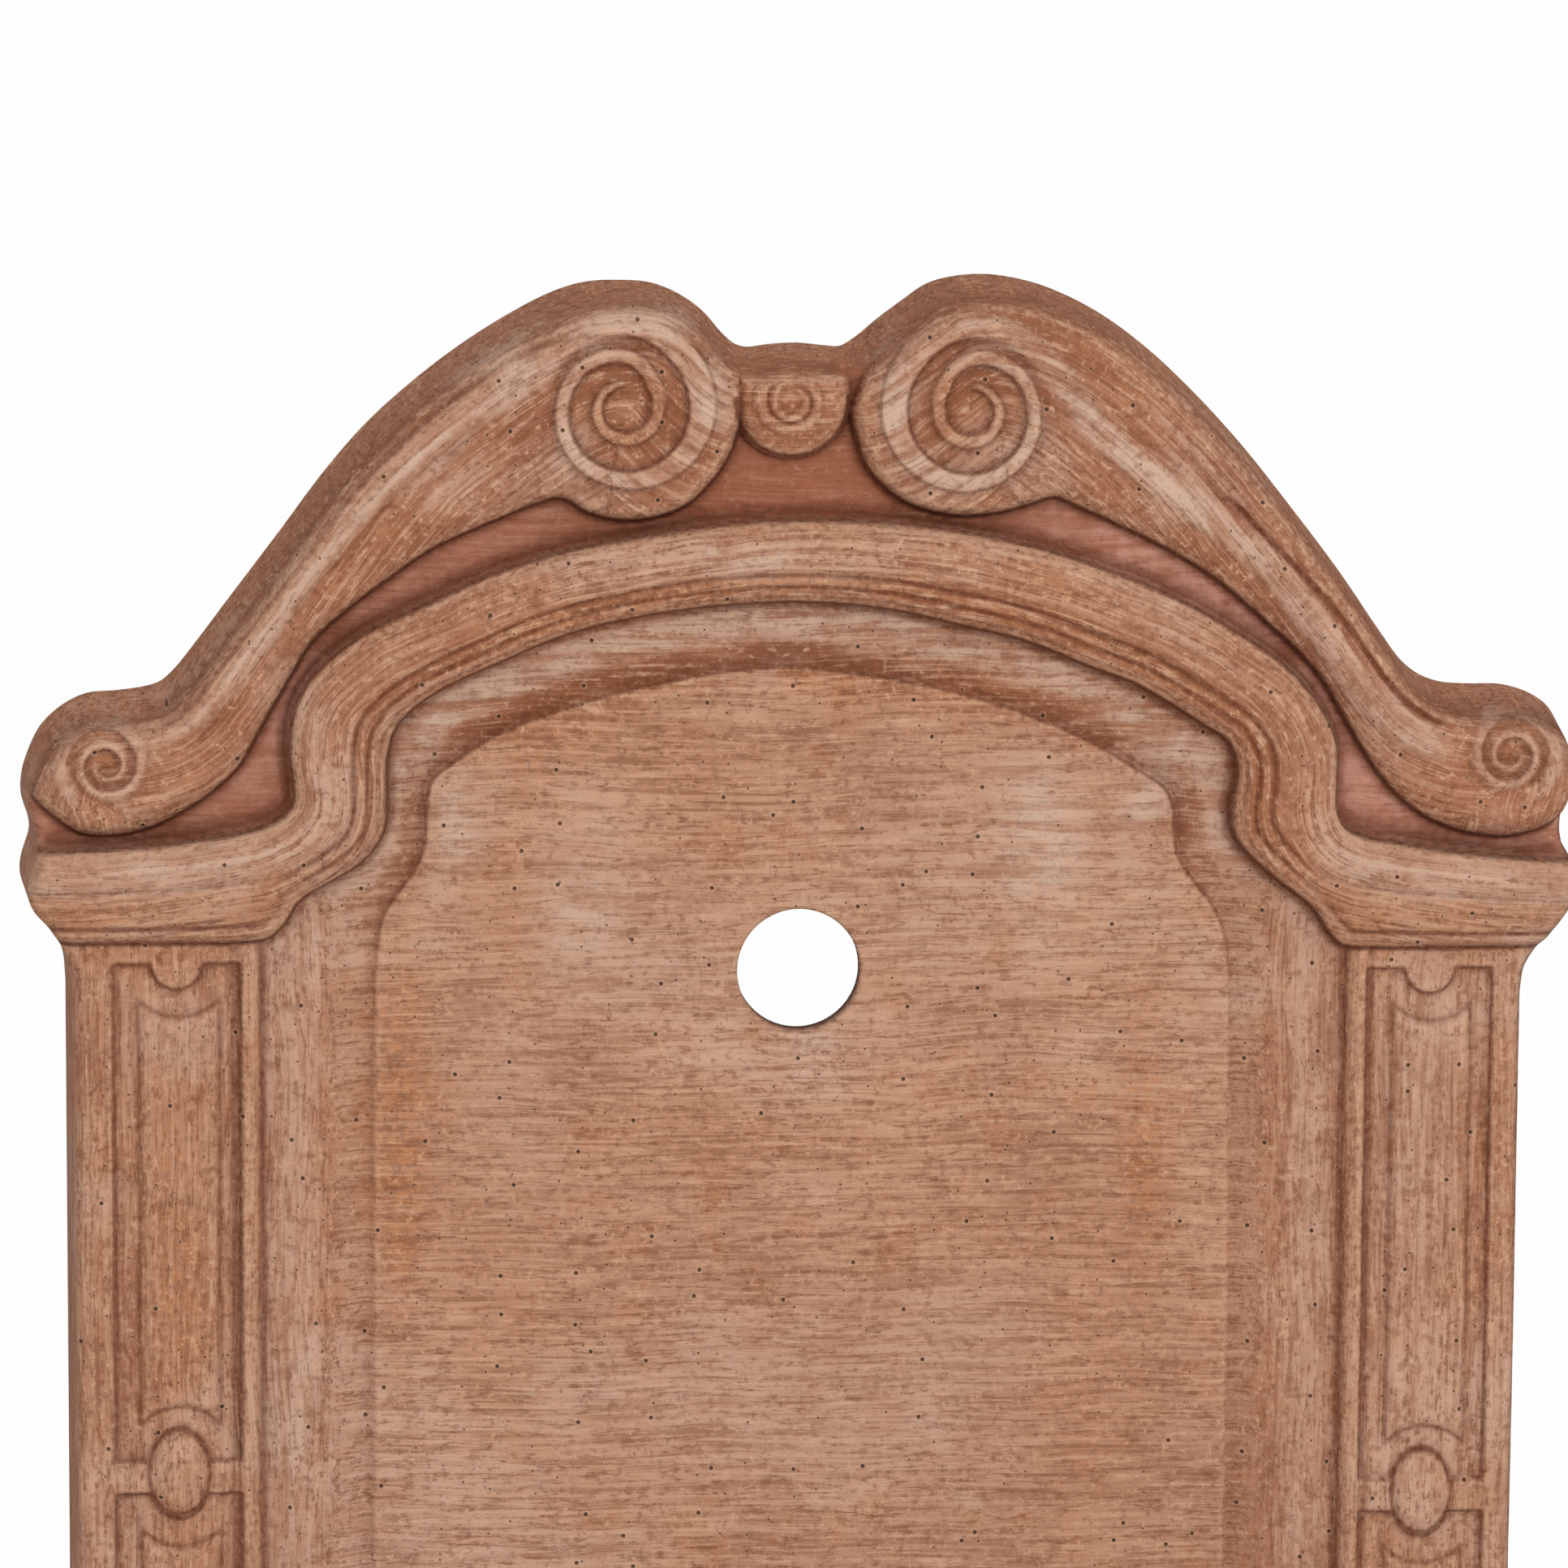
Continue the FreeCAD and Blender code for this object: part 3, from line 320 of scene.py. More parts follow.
# %%
def draw_field(half):
    """The raised field, the ovolo slope round it and the flat border."""
    edge_near, _ = distance_to(half.ends)
    half.inside = inside_of(half.ends + [(-14.0, 0.0)])
    half.edge_inside = np.where(half.inside, edge_near, -edge_near)
    near, _ = distance_to(half.field_line)
    field_inside = inside_of(half.field_line + [(-40.0, -10.0)])
    half.outward = np.where(field_inside, -near, near)
    half.under = inside_of(half.foot_line + [(BOARD_SIDE, -10.0), (-41.0, -10.0)])
    slope = np.interp(half.outward, [-6, -1.2, -0.2, 1.0, 2.4, 5, 9, 14, 19, 22.5, 24, 30],
                      [FIELD, FIELD, FIELD + 0.4, FIELD - 0.9, 39.6, 41.0, 43.4, 45.4, 46.6, 46.9,
                       47.5, BORDER])
    half.height = np.where(half.under, slope, TYMPANUM)


SWEPT_SECTION = (
    [0, 0.05, 0.14, 0.30, 0.46, 0.60, 0.635, 0.66, 0.70, 0.75, 0.78, 0.81, 0.86, 0.89, 0.93, 0.97,
     1.0],
    [57.5, 60.0, 62.2, 63.6, 63.4, 62.0, 60.6, 60.8, 61.4, 60.8, 59.7, 60.0, 59.8, 59.2, 58.4, 56.8,
     53.4])
LEVEL_SECTION = (
    [0, 0.04, 0.12, 0.22, 0.32, 0.40, 0.43, 0.46, 0.54, 0.66, 0.76, 0.81, 0.835, 0.86, 0.91, 0.95,
     1.0],
    [57.8, 60.4, 62.6, 63.6, 63.4, 62.6, 61.5, 61.9, 61.9, 60.4, 59.0, 58.2, 57.3, 58.0, 57.8, 56.4,
     54.6])


def draw_cornice(half):
    """The moulding over the field. Its ends are level and have a section of their own."""
    half.top_near, half.top_along = distance_to(half.top_line)
    half.foot_near, _ = distance_to(half.foot_line)
    half.in_cornice = inside_of(half.top_line + half.foot_line[::-1])
    half.across = half.top_near / np.maximum(half.top_near + half.foot_near, 1e-6)
    half.to_level = step_up(X - 0.25 * (Z - 415), 150, 186)
    cornice = np.interp(half.across, *SWEPT_SECTION) * (1 - half.to_level) \
        + np.interp(half.across, *LEVEL_SECTION) * half.to_level
    bank = np.where(half.under, 0.0, 57.5 - 7.0 * half.top_near)
    half.height = np.maximum(half.height, np.where(half.in_cornice, cornice, bank))


def draw_pilaster(half):
    """The upright at the side with its tooled bead along the inner edge, and the plinth."""
    x = X - half.pilaster_shift * step_down(X, 182, 190)
    bead = np.interp(x, [172.9, PILASTER_EDGE, 175.6, 176.8, 179.2, 181.6, 183.0, 183.8, 184.8,
                         186],
                     [0, 47, 51.5, 53.4, 54.7, 53.8, 52.6, 52.2, 53.3, PILASTER])
    bead += 0.2 * np.sin(Z * 2.1 + 0.8 * np.sin(Z * 0.31)) \
        * step_up(x, 175, 176.5) * step_down(x, 181, 183)
    pilaster = np.where(half.under & (Z < 410), bead, 0)
    plinth = np.interp(Z, [0, 26, 28.5, 31.5, 35, 39, 43, 45.5, PLINTH_TOP],
                       [61, 61, 60.6, 58, 56.2, 57.4, 56.6, 54.4, 0])
    inward = X - 168.5
    plinth = np.where(inward > 0, np.minimum(plinth, 46 + 5 * np.maximum(inward, 0)), 0)
    half.height = most(half.height, pilaster, plinth)


for half in (LEFT, RIGHT):
    draw_field(half)
    draw_cornice(half)
    draw_pilaster(half)
print("mouldings reach", round(float(LEFT.height.max()), 1), "mm from the wall")

# %% [markdown]
# ## Scroll and volutes
#
# The scroll has a roll along its back, a soft pale ridge beside it, and a long hollow slope
# towards its lower edge. The ridge becomes the ribbon that winds into the volute's eye.

# %%
def turns(centre, start, x=X, z=Z):
    """Distance from a volute's centre, and turns round it from the start direction."""
    dx, dz = x - centre[0], z - centre[1]
    angle = np.arctan2(-dx, dz) if start == "top" else np.arctan2(dx, -dz)
    return np.hypot(dx, dz), (angle / (2 * math.pi)) % 1.0


def ribbon(radius, turn, knots, outer, inner, edge, fade=0.14):
    """A raised ribbon that winds inwards: 1 on it, 0 beside it. It fades in at its first turn."""
    raised = np.zeros(radius.shape)
    for lap in range(-1, 3):
        place = turn + lap
        live = (place >= knots[0]) & (place <= knots[-1])
        out_r = np.interp(place, knots, outer)
        in_r = np.interp(place, knots, inner)
        lift = step_up(out_r - radius, -edge, edge) * step_up(radius - in_r, -edge, edge)
        lift = lift * step_up(place, knots[0], knots[0] + fade)
        raised = np.maximum(raised, np.where(live, lift, 0))
    return raised


def winding(radius, turn, knots, radii):
    """Distance from the line that winds in at these radii."""
    near = np.full(radius.shape, 9.0)
    for lap in range(-1, 3):
        place = turn + lap
        live = (place >= knots[0]) & (place <= knots[-1])
        gap = np.abs(radius - np.interp(place, knots, radii))
        near = np.where(live, np.minimum(near, gap), near)
    return near


LAPS = [-0.24, 0, 0.125, 0.25, 0.375, 0.5, 0.625, 0.75, 0.875, 1.0, 1.125, 1.25, 1.5, 1.75, 2.0]
RIBBON_OUTER = [34.5, 30.6, 30.0, 29.2, 27.4, 25.6, 24.0, 22.6, 21.6, 20.0, 15.0, 12.7, 11.8, 10.8,
                9.4]
RIBBON_INNER = [25.5, 23.6, 20.8, 20.2, 19.8, 19.6, 18.8, 17.6, 16.6, 14.6, 9.6, 8.0, 7.1, 6.9, 7.0]
SMALL_LAPS = [0, 0.25, 0.5, 0.75, 1.0, 1.25, 1.5, 1.75, 2.0, 2.25]
SMALL_OUTER = [17.4, 17.0, 15.0, 12.6, 11.0, 9.2, 8.0, 6.6, 5.2, 4.0]
SMALL_INNER = [12.8, 12.2, 11.2, 9.2, 8.0, 6.6, 5.4, 4.4, 3.2, 2.6]


def draw_scroll(half):
    """One swept scroll with its large volute and its small one."""
    start_x, end_z = 20.5, half.scroll_foot[-1][1]
    outline = [p for p in half.crest if p[0] > start_x and p[1] > end_z]
    half.in_scroll = inside_of(outline + half.low_line[::-1])
    half.low_near, _ = distance_to(half.low_line)
    half.back_near, half.back_along = distance_to(half.crest)
    low_near, back_near = half.low_near, half.back_near
    ridge_near, _ = distance_to(half.ridge_line)
    roll = np.interp(back_near, [0, 1.0, 2.5, 4.5, 7, 12, 20, 35, 60],
                     [48, 51.6, 54.2, 55.6, 56.0, 55.8, 55.6, 55.2, 55])
    lower = np.interp(low_near, [0, 0.8, 2, 4, 7, 11, 16, 22, 30],
                      [48, 50.4, 52.0, 53.3, 54.4, 55.4, 56.2, 57.2, 58])
    lip = np.interp(low_near, [0, 0.8, 2, 3.6, 6, 9, 14], [48, 51.5, 54.6, 56.8, 58.4, 59.0, 59.2])
    small_lip = np.interp(low_near, [0, 0.8, 2, 4, 7, 11], [47.5, 50.4, 53.0, 55.4, 56.9, 57.4])
    half.r, turn = turns(half.volute, "top")
    small_r, small_turn = turns(half.small_volute, "bottom")
    near_large, near_small = step_down(half.r, 34, 48), step_down(small_r, 20, 32)
    ridge = step_down(ridge_near, 2.6, 6.4)
    trough = crease(ridge_near - 7.4, 1.6) * (back_near < 60) * step_up(low_near - back_near, -6, 2)
    places, depths, strength = half.groove
    grooved = crease(back_near - np.interp(X, places, depths), 0.9) * step_up(low_near, 3, 8)
    grooved *= strength * step_up(X, places[0], places[0] + 14) \
        * step_down(X, places[-1] - 8, places[-1])
    scroll = soft_min(roll, lower, 1.6)
    scroll += (2.0 * ridge - 0.9 * trough - 1.6 * grooved) * (1 - near_large) * (1 - near_small)
    for near, edge, lift, rise in ((near_large, lip, 1.6, (4, 8)),
                                   (near_small, small_lip, 1.2, (3, 7))):
        head = soft_min(roll + lift * step_up(back_near, *rise), edge, 1.2)
        scroll = scroll * (1 - near) + head * near
    wound = ribbon(half.r, turn, LAPS, RIBBON_OUTER, RIBBON_INNER, 0.8)
    sunk = step_down(half.r, 25, 29) * (1 - wound)
    scroll += 1.5 * wound - 0.9 * sunk + 1.0 * np.maximum(0, 1 - (half.r / 6.6) ** 2)
    small_wound = ribbon(small_r, small_turn, SMALL_LAPS, SMALL_OUTER, SMALL_INNER, 0.6, 0.2)
    scroll += 1.4 * small_wound - 0.8 * step_down(small_r, 13, 17) * (1 - small_wound)
    scroll -= 0.8 * crease(small_r, 1.3)
    outside = np.where(half.under | half.in_cornice, 0, 46.5 - 2 * low_near)
    half.height = np.maximum(half.height, np.where(half.in_scroll, scroll, outside))
    half.wound, half.small_wound, half.grooved = wound, small_wound, grooved
    half.near_large, half.near_small, half.ridge_lift = near_large, near_small, ridge
    half.volute_line = half.in_scroll * most(
        crease(winding(half.r, turn, LAPS[1:], RIBBON_INNER[1:]), 0.8),
        0.8 * crease(winding(half.r, turn, LAPS[2:], RIBBON_OUTER[2:]), 0.7),
        0.8 * crease(winding(small_r, small_turn, SMALL_LAPS[1:], SMALL_INNER[1:]), 0.7))


for half in (LEFT, RIGHT):
    draw_scroll(half)
print("scrolls reach", round(float(LEFT.height.max()), 1), "mm from the wall")

# %% [markdown]
# ## The sunk panels of the pilasters
#
# Each has a flat sunk frame with a round bite out of both ends, round a raised inner panel. An oval
# boss parts the upper panel from the lower one.

# %%
def bitten(centre, low, high, half_width, bite):
    """Inside measure of an upright panel whose two ends have a round bite."""
    side = half_width - np.abs(X - centre)
    body = np.minimum(side, np.minimum(high - Z, Z - low))
    for end in (low, high):
        body = np.minimum(body, np.hypot(X - centre, Z - end) - bite)
    return body


def draw_sunk_panels(half):
    """The two sunk frames of a pilaster and the oval boss between them."""
    cut, line = np.zeros(X.shape), np.zeros(X.shape)
    for low, high in half.frames:
        outer = bitten(half.panel_x, low, high, 20.3, 8.3)
        island = bitten(half.panel_x + half.island_shift, low, high, 13.4, 17.0)
        cut += 2.3 * step_up(outer, -0.7, 1.1) - 2.4 * step_up(island, -0.3, 3.0)
        line = most(line, crease(outer, 0.75), 0.75 * crease(island - 0.4, 0.85))
    oval = np.hypot((X - half.panel_x) / 9.3, (Z - half.oval_z) / 13.3)
    boss = 2.6 * step_down(oval, 0.55, 1.08) + 1.0 * step_down(oval, 0, 0.5)
    boss_line = crease(oval - 1.06, 0.08)
    half.height = half.height - cut * step_up(oval, 0.95, 1.12) - 0.8 * boss_line + boss
    half.panel_line = np.maximum(line * step_up(oval, 1.0, 1.15), boss_line)


for half in (LEFT, RIGHT):
    draw_sunk_panels(half)
print("sunk panels:", LEFT.frames, RIGHT.frames)

# %% [markdown]
# ## Softened, worn and marked
#
# The edges are softened as pressed clay is. Thin creases keep their dirt, and they and the steps
# that fall into shade get painted shade, so each drawn line is remembered with the strength at
# which it shows. Red clay, pale wash and amber follow the forms.

# %%
EDGE_ROUNDING = 5.5
# Creases of the cornice: place across it, width, strength
SWEPT_CREASES = ((0.635, 0.032, 0.75), (0.78, 0.030, 0.8), (0.90, 0.024, 0.6))
LEVEL_CREASES = ((0.43, 0.022, 0.5), (0.835, 0.028, 0.9), (0.93, 0.022, 0.5))


def finish_half(half):
    """Worn edges, and drawings of the creases' dirt and painted shade, the brush's way and the
    colours.
    """
    under, in_cornice, in_scroll = half.under, half.in_cornice, half.in_scroll
    outward, across, to_level = half.outward, half.across, half.to_level
    rim = np.clip(1 - np.maximum(half.edge_inside, 0) / EDGE_ROUNDING, 0, 1)
    roll_off = EDGE_ROUNDING * (1 - np.sqrt(np.maximum(1 - rim ** 2, 0)))
    height = half.height - np.where(in_scroll, 0.35, 1.0) * roll_off
    swept, level = in_cornice * (1 - to_level), in_cornice * to_level
    lines = most(
        crease(half.low_near, 1.0) * half.inside,
        0.9 * crease(half.top_near, 0.7) * ~in_scroll,
        crease(half.foot_near, 0.9) * (Z > 396),
        0.75 * crease(outward - 0.6, 0.7) * under * step_up(Z, 340, 420),
        0.2 * crease(outward - 0.6, 0.9) * under,
        *(strength * crease(across - place, width) * part
          for part, creases in ((swept, SWEPT_CREASES), (level, LEVEL_CREASES))
          for place, width, strength in creases),
        half.grooved, 0.85 * half.volute_line, 0.85 * half.panel_line,
        0.7 * crease(X - PILASTER_EDGE - half.pilaster_shift, 0.9) * (Z > PLINTH_TOP) * (Z < 400))
    on_pilaster = under & ~in_cornice & (X > 150)
    lightened = np.where(on_pilaster, 0.6, 0.85) * step_down(Z, 400, 450)
    bold = np.where(under, step_up(outward, -8, 1) * (1 - lightened), 1 - 0.5 * level)
    channel = under & (outward > 0)
    red = most(
        channel * 0.75 * within(outward, 4, 2, 6) * step_up(Z, 380, 470),
        channel * 0.15 * within(outward, 14, 3, 7) * step_down(Z, 420, 470),
        in_scroll * 0.75 * step_down(half.back_near, 3.0, 5.5),
        in_scroll * 0.55 * step_down(half.low_near, 3, 10),
        in_scroll * 0.5 * half.near_large * (1 - half.wound),
        in_cornice * 0.4 * step_up(across, 0.6, 0.68) * (1 - to_level))
    pale = most(
        in_scroll * 0.75 * half.ridge_lift * (1 - 0.5 * half.near_small),
        in_scroll * 0.7 * half.wound * step_up(half.r, 12, 17),
        in_scroll * 0.75 * half.small_wound,
        in_cornice * (0.15 + 0.45 * to_level) * step_down(across, 0.45, 0.6),
        under * (X < 174) * 0.4 * step_up(outward, 17, 23),
        under * 0.75 * within(outward, 16, 4, 8) * step_up(Z, 400, 440))
    amber = most(in_cornice * 0.35 * to_level * within(across, 0.62, 0.11, 0.17),
                 in_cornice * 0.5 * within(across, 0.76, 0.04, 0.08))
    for name, drawing, sigma in (
            ("height", height, 0.6), ("lines", lines, 0.3), ("bold", bold, 1.0),
            ("curved", in_cornice | in_scroll, 0.5), ("upright", on_pilaster, 4.0),
            ("rose", half.inside & ~under & ~in_cornice & ~in_scroll, 0.5),
            ("red", np.clip(red, 0, 1), 0.8), ("pale", np.clip(pale, 0, 1), 0.8),
            ("amber", np.clip(amber, 0, 1), 0.8)):
        setattr(half, name, blur(drawing, sigma))
    for name, of_cornice, of_scroll in (("along", half.top_along, half.back_along),
                                        ("over", half.top_near, half.back_near)):
        setattr(half, name, np.where(in_cornice, of_cornice, np.where(in_scroll, of_scroll, 0)))


for half in (LEFT, RIGHT):
    finish_half(half)
print("halves finished")

# %% [markdown]
# ## Two halves on one board
#
# The finished panel is drawn on a wider board. The two halves melt into each other at the centre,
# where the small middle volute and the tap hole are added, and a slow unevenness runs over it all.

# %%
MESH_STEP = 0.8
MELT = 7.0
HOLE_ROUNDING = 1.2
PANEL_X = np.arange(-256.0, 256.01, MESH_STEP)
PANEL_Z = np.arange(-4.0, 616.01, MESH_STEP)
PX, PZ = np.meshgrid(PANEL_X, PANEL_Z)


def look_up(drawing, x, z, first_x=BOARD_X[0], first_z=BOARD_Z[0], step=STEP):
    """Read a drawing between its squares."""
    i = np.clip((x - first_x) / step, 0, drawing.shape[1] - 1.001)
    j = np.clip((z - first_z) / step, 0, drawing.shape[0] - 1.001)
    i0, j0 = i.astype(int), j.astype(int)
    fi, fj = i - i0, j - j0
    return ((drawing[j0, i0] * (1 - fi) + drawing[j0, i0 + 1] * fi) * (1 - fj)
            + (drawing[j0 + 1, i0] * (1 - fi) + drawing[j0 + 1, i0 + 1] * fi) * fj)


def on_board(drawing, x, z):
    """Read a drawing of the panel's own, wider board."""
    return look_up(drawing, x, z, PANEL_X[0], PANEL_Z[0], MESH_STEP)


def both_halves(name, x, z):
    """One measure of the two drawings, anywhere on the panel."""
    share = step_up(x, -MELT, MELT)
    left = look_up(getattr(LEFT, name).astype(float), -x, z)
    right = look_up(getattr(RIGHT, name).astype(float), x, z)
    return left * (1 - share) + right * share


def wander(x, z, size, seed):
    """A slow, gentle unevenness between -1 and 1."""
    total = np.zeros(np.shape(x))
    rng = np.random.default_rng(seed)
    for _ in range(7):
        angle, phase = rng.uniform(0, 2 * math.pi), rng.uniform(0, 2 * math.pi)
        stretch = rng.uniform(0.6, 1.6)
        way = x * math.cos(angle) + z * math.sin(angle)
        total += np.sin(way * stretch * 2 * math.pi / size + phase)
    return total / 3.5


def panel_surface(x, z):
    """Depth of the carved face, and its inside measure, anywhere on the panel."""
    depth = both_halves("height", x, z)
    margin = both_halves("edge_inside", x, z)
    r, turn = turns(MIDDLE_VOLUTE, "top", x, z)
    middle = np.interp(r, [0, 6, 12, 15, 17, 18.4, 19.6, 21], [56.5, 56.5, 56, 55, 53.4, 51, 47, 0])
    middle += 1.6 * ribbon(r, turn, [0, 0.5, 1.0, 1.5, 2.0], [13.5, 11.0, 8.0, 6.5, 4.0],
                           [9.5, 7.6, 5.6, 4.2, 2.5], 0.7)
    depth = np.maximum(depth, np.minimum(middle, 46 + 3.0 * np.maximum(margin, 0)))
    depth += 0.35 * wander(x, z, 95, 3) + 0.12 * wander(x, z, 23, 4) + 0.05 * wander(x, z, 7, 5)
    hole = np.hypot(x, z - TAP_Z) - TAP_RADIUS
    lip = np.clip(1 - hole / HOLE_ROUNDING, 0, 1)
    depth = depth - HOLE_ROUNDING * (1 - np.sqrt(np.maximum(1 - lip ** 2, 0)))
    return depth, np.minimum(margin, hole)


DEPTH, MARGIN = panel_surface(PX, PZ)
print("panel board:", PX.shape[1], "by", PX.shape[0])

# %% [markdown]
# ## What the brush, the dust, the painted shade and the wash need to know
#
# Each place keeps a few measures: how deep it lies among its neighbours, which sets the dirt and
# the painted shade in its hollows, how the brush ran there, and where the clay is red, pale or
# amber.

# %%
def soften(field, sigma):
    """The same blur, on the panel's own board."""
    return blur(field, sigma * STEP / MESH_STEP)


fine_hollow = soften(DEPTH, 1.5) - DEPTH
wide_hollow = soften(DEPTH, 6.0) - DEPTH
away = step_up(MARGIN, 0.5, 4.0)
# cavity is dirt and painted shade in the creases, ridge the pale wash on edges, shade painted shade
# in the wide hollows
marks = {
    "cavity": np.clip(fine_hollow / 1.3, 0, 0.5) * away,
    "ridge": np.clip(-fine_hollow / 0.9, 0, 1) * away,
    "shade": np.clip(wide_hollow / 5.0, 0, 1) * away,
}
for name in ("red", "pale", "amber", "curved", "upright", "bold", "rose"):
    marks[name] = both_halves(name, PX, PZ)
middle_r = np.hypot(PX - MIDDLE_VOLUTE[0], PZ - MIDDLE_VOLUTE[1])
# Painted shade along the silhouette's front edge, where it turns away from the light
shaded_edge_line = 0.7 * np.exp(-np.maximum(both_halves("edge_inside", PX, PZ), 0) / 0.9)
drawn = most(np.where(middle_r < 18, 0.3, 1.0) * both_halves("lines", PX, PZ),
             0.8 * crease(middle_r - 18.2, 1.0) * (PZ < 578),
             shaded_edge_line * step_up(PX, 150, 200) * step_down(PZ, 465, 480))
field_edge = crease(both_halves("outward", PX, PZ), 7.0) * step_down(PZ, 400, 450)
marks["cavity"] = np.maximum(marks["cavity"] * (1 - 0.6 * field_edge), drawn)
for name in ("red", "rose"):
    marks[name] = np.where(middle_r < 17.5, 0.15, marks[name])
paler_rose = 0.75 * step_up(PX, 40, 110) + 0.3 * step_down(PX, -130, -60)
marks["pale"] = np.maximum(marks["pale"], marks["rose"] * paler_rose)

# Patches of wash and of red clay: x, z, width, height, angle, strength
AMBER_SPOTS = [
    (-129, 336, 10, 75, 0, 0.9), (113, 334, 9, 65, 0, 0.7), (-201, 300, 9, 80, 0, 0.7),
    (-105, 300, 25, 60, 0, 0.4), (90, 400, 10, 60, 0, 0.3), (-60, 455, 50, 12, 0, 0.4),
    (-82, 462, 26, 12, 25, 0.7), (-94, 412, 9, 26, 0, 0.5), (-20, 335, 80, 14, 0, 0.35),
    (60, 300, 40, 14, 0, 0.35), (-95, 250, 28, 55, 0, 0.4), (95, 260, 20, 60, 0, 0.45),
    (30, 480, 50, 7, 0, 0.4), (-50, 512, 60, 8, 10, 0.5), (80, 520, 40, 7, -18, 0.4),
]
PALE_SPOTS = [
    (79, 432, 17, 28, 4, 1.0), (113, 445, 9, 20, -20, 0.8), (-110, 451, 16, 8, 20, 0.7),
    (-72, 408, 18, 28, 0, 0.7), (42, 415, 30, 40, 0, 0.35), (-95, 340, 20, 45, 0, 0.35),
    (10, 245, 60, 26, 0, 0.45), (52, 265, 40, 30, 0, 0.35), (-19, 526, 20, 6, 5, 0.95),
    (114, 511, 17, 7, -32, 0.7), (-98, 585, 16, 9, 38, 0.9), (-116, 556, 14, 9, 45, 0.75),
    (-45, 602, 18, 4, 0, 0.8), (-29, 580, 5, 13, 10, 0.8), (-76, 559, 6, 10, -35, 0.7),
    (-126, 466, 11, 11, 0, 1.0), (-111, 440, 9, 18, 0, 1.0), (-48, 392, 42, 20, 0, 0.45),
    (-201, 372, 13, 15, 0, 0.75), (204, 372, 13, 20, 0, 0.6), (-161, 475, 7, 13, -20, 0.7),
    (29, 577, 6, 20, 5, 0.85), (96, 562, 13, 4, -45, 0.7), (122, 546, 12, 5, -48, 0.7),
    (192, 471, 8, 14, 40, 0.7), (200, 335, 12, 70, 0, 0.5), (-200, 330, 9, 30, 0, 0.2),
    (4, 366, 9, 3, 0, 0.7),
]
RED_SPOTS = [
    (133, 552, 17, 6, -42, 0.95), (143, 541, 9, 5, -48, 0.8), (-87, 566, 8, 9, 0, 0.8),
    (-129, 336, 9, 70, 0, 0.5), (111, 334, 9, 60, 0, 0.4), (122, 442, 6, 10, 0, 0.7),
    (-125, 515, 16, 7, 38, 0.4), (150, 505, 26, 9, -50, 0.3), (20, 506, 60, 6, -4, 0.35),
    (-40, 290, 60, 40, 0, 0.15), (-212, 250, 8, 40, 0, 0.3), (75, 330, 30, 30, 0, 0.15),
    (-30, 465, 60, 10, 0, 0.2), (-150, 500, 10, 5, 50, 0.4), (-60, 512, 30, 5, 12, 0.4),
]


def spots(members):
    """Soft ovals on the panel's board."""
    total = np.zeros(PX.shape)
    for cx, cz, wide, tall, angle, strength in members:
        c, s = math.cos(math.radians(angle)), math.sin(math.radians(angle))
        u, v = (PX - cx) * c + (PZ - cz) * s, -(PX - cx) * s + (PZ - cz) * c
        total = np.maximum(total, strength * np.exp(-((u / wide) ** 2 + (v / tall) ** 2)))
    return total


for name, members in (("pale", PALE_SPOTS), ("red", RED_SPOTS), ("amber", AMBER_SPOTS)):
    marks[name] = np.clip(marks[name] + spots(members), 0, 1)
flow_along, flow_across = both_halves("along", PX, PZ), both_halves("over", PX, PZ)
WEIGHTS = {"cavity": 1.0, "rose": 0.6, "red": 0.5, "pale": 0.4, "curved": 0.5}
slope = sum(np.hypot(*np.gradient(marks[name])) * share for name, share in WEIGHTS.items())
detail = np.clip(soften(slope, 0.6) / 0.25 - 0.45, 0, 1)
print("measures:", ", ".join(marks))

# %% [markdown]
# ## From the board to a mesh
#
# Squares inside the silhouette become faces. A square that the silhouette or the tap hole cuts is
# clipped exactly there, so the outline is as smooth as the drawing.

# %%
def clipped_grid(margin):
    """Vertices as (x, z), and faces, of the part of the board where the margin is positive."""
    keep = margin > 0
    number = -np.ones(margin.shape, int)
    number[keep] = np.arange(keep.sum())
    places = list(zip(PX[keep], PZ[keep]))
    first, second = slice(None, -1), slice(1, None)
    corners_of = ((first, first), (first, second), (second, second), (second, first))
    kept_corners = np.sum([keep[corner] for corner in corners_of], axis=0)
    whole = kept_corners == 4
    faces = np.stack([number[corner][whole] for corner in corners_of], 1).tolist()
    crossings = {}

    def crossing(a, b):
        key = (min(a, b), max(a, b))
        if key not in crossings:
            (ja, ia), (jb, ib) = key
            ma, mb = margin[ja, ia], margin[jb, ib]
            t = min(max(ma / (ma - mb), 0.02), 0.98)
            crossings[key] = len(places)
            places.append((PANEL_X[ia] + t * (PANEL_X[ib] - PANEL_X[ia]),
                           PANEL_Z[ja] + t * (PANEL_Z[jb] - PANEL_Z[ja])))
        return crossings[key]

    for j, i in zip(*np.nonzero((kept_corners > 0) & ~whole)):
        corners = [(j, i), (j, i + 1), (j + 1, i + 1), (j + 1, i)]
        face = []
        for a, b in zip(corners, corners[1:] + corners[:1]):
            if keep[a]:
                face.append(int(number[a]))
            if keep[a] != keep[b]:
                face.append(crossing(a, b))
        faces.append(face)
    return np.array(places), faces


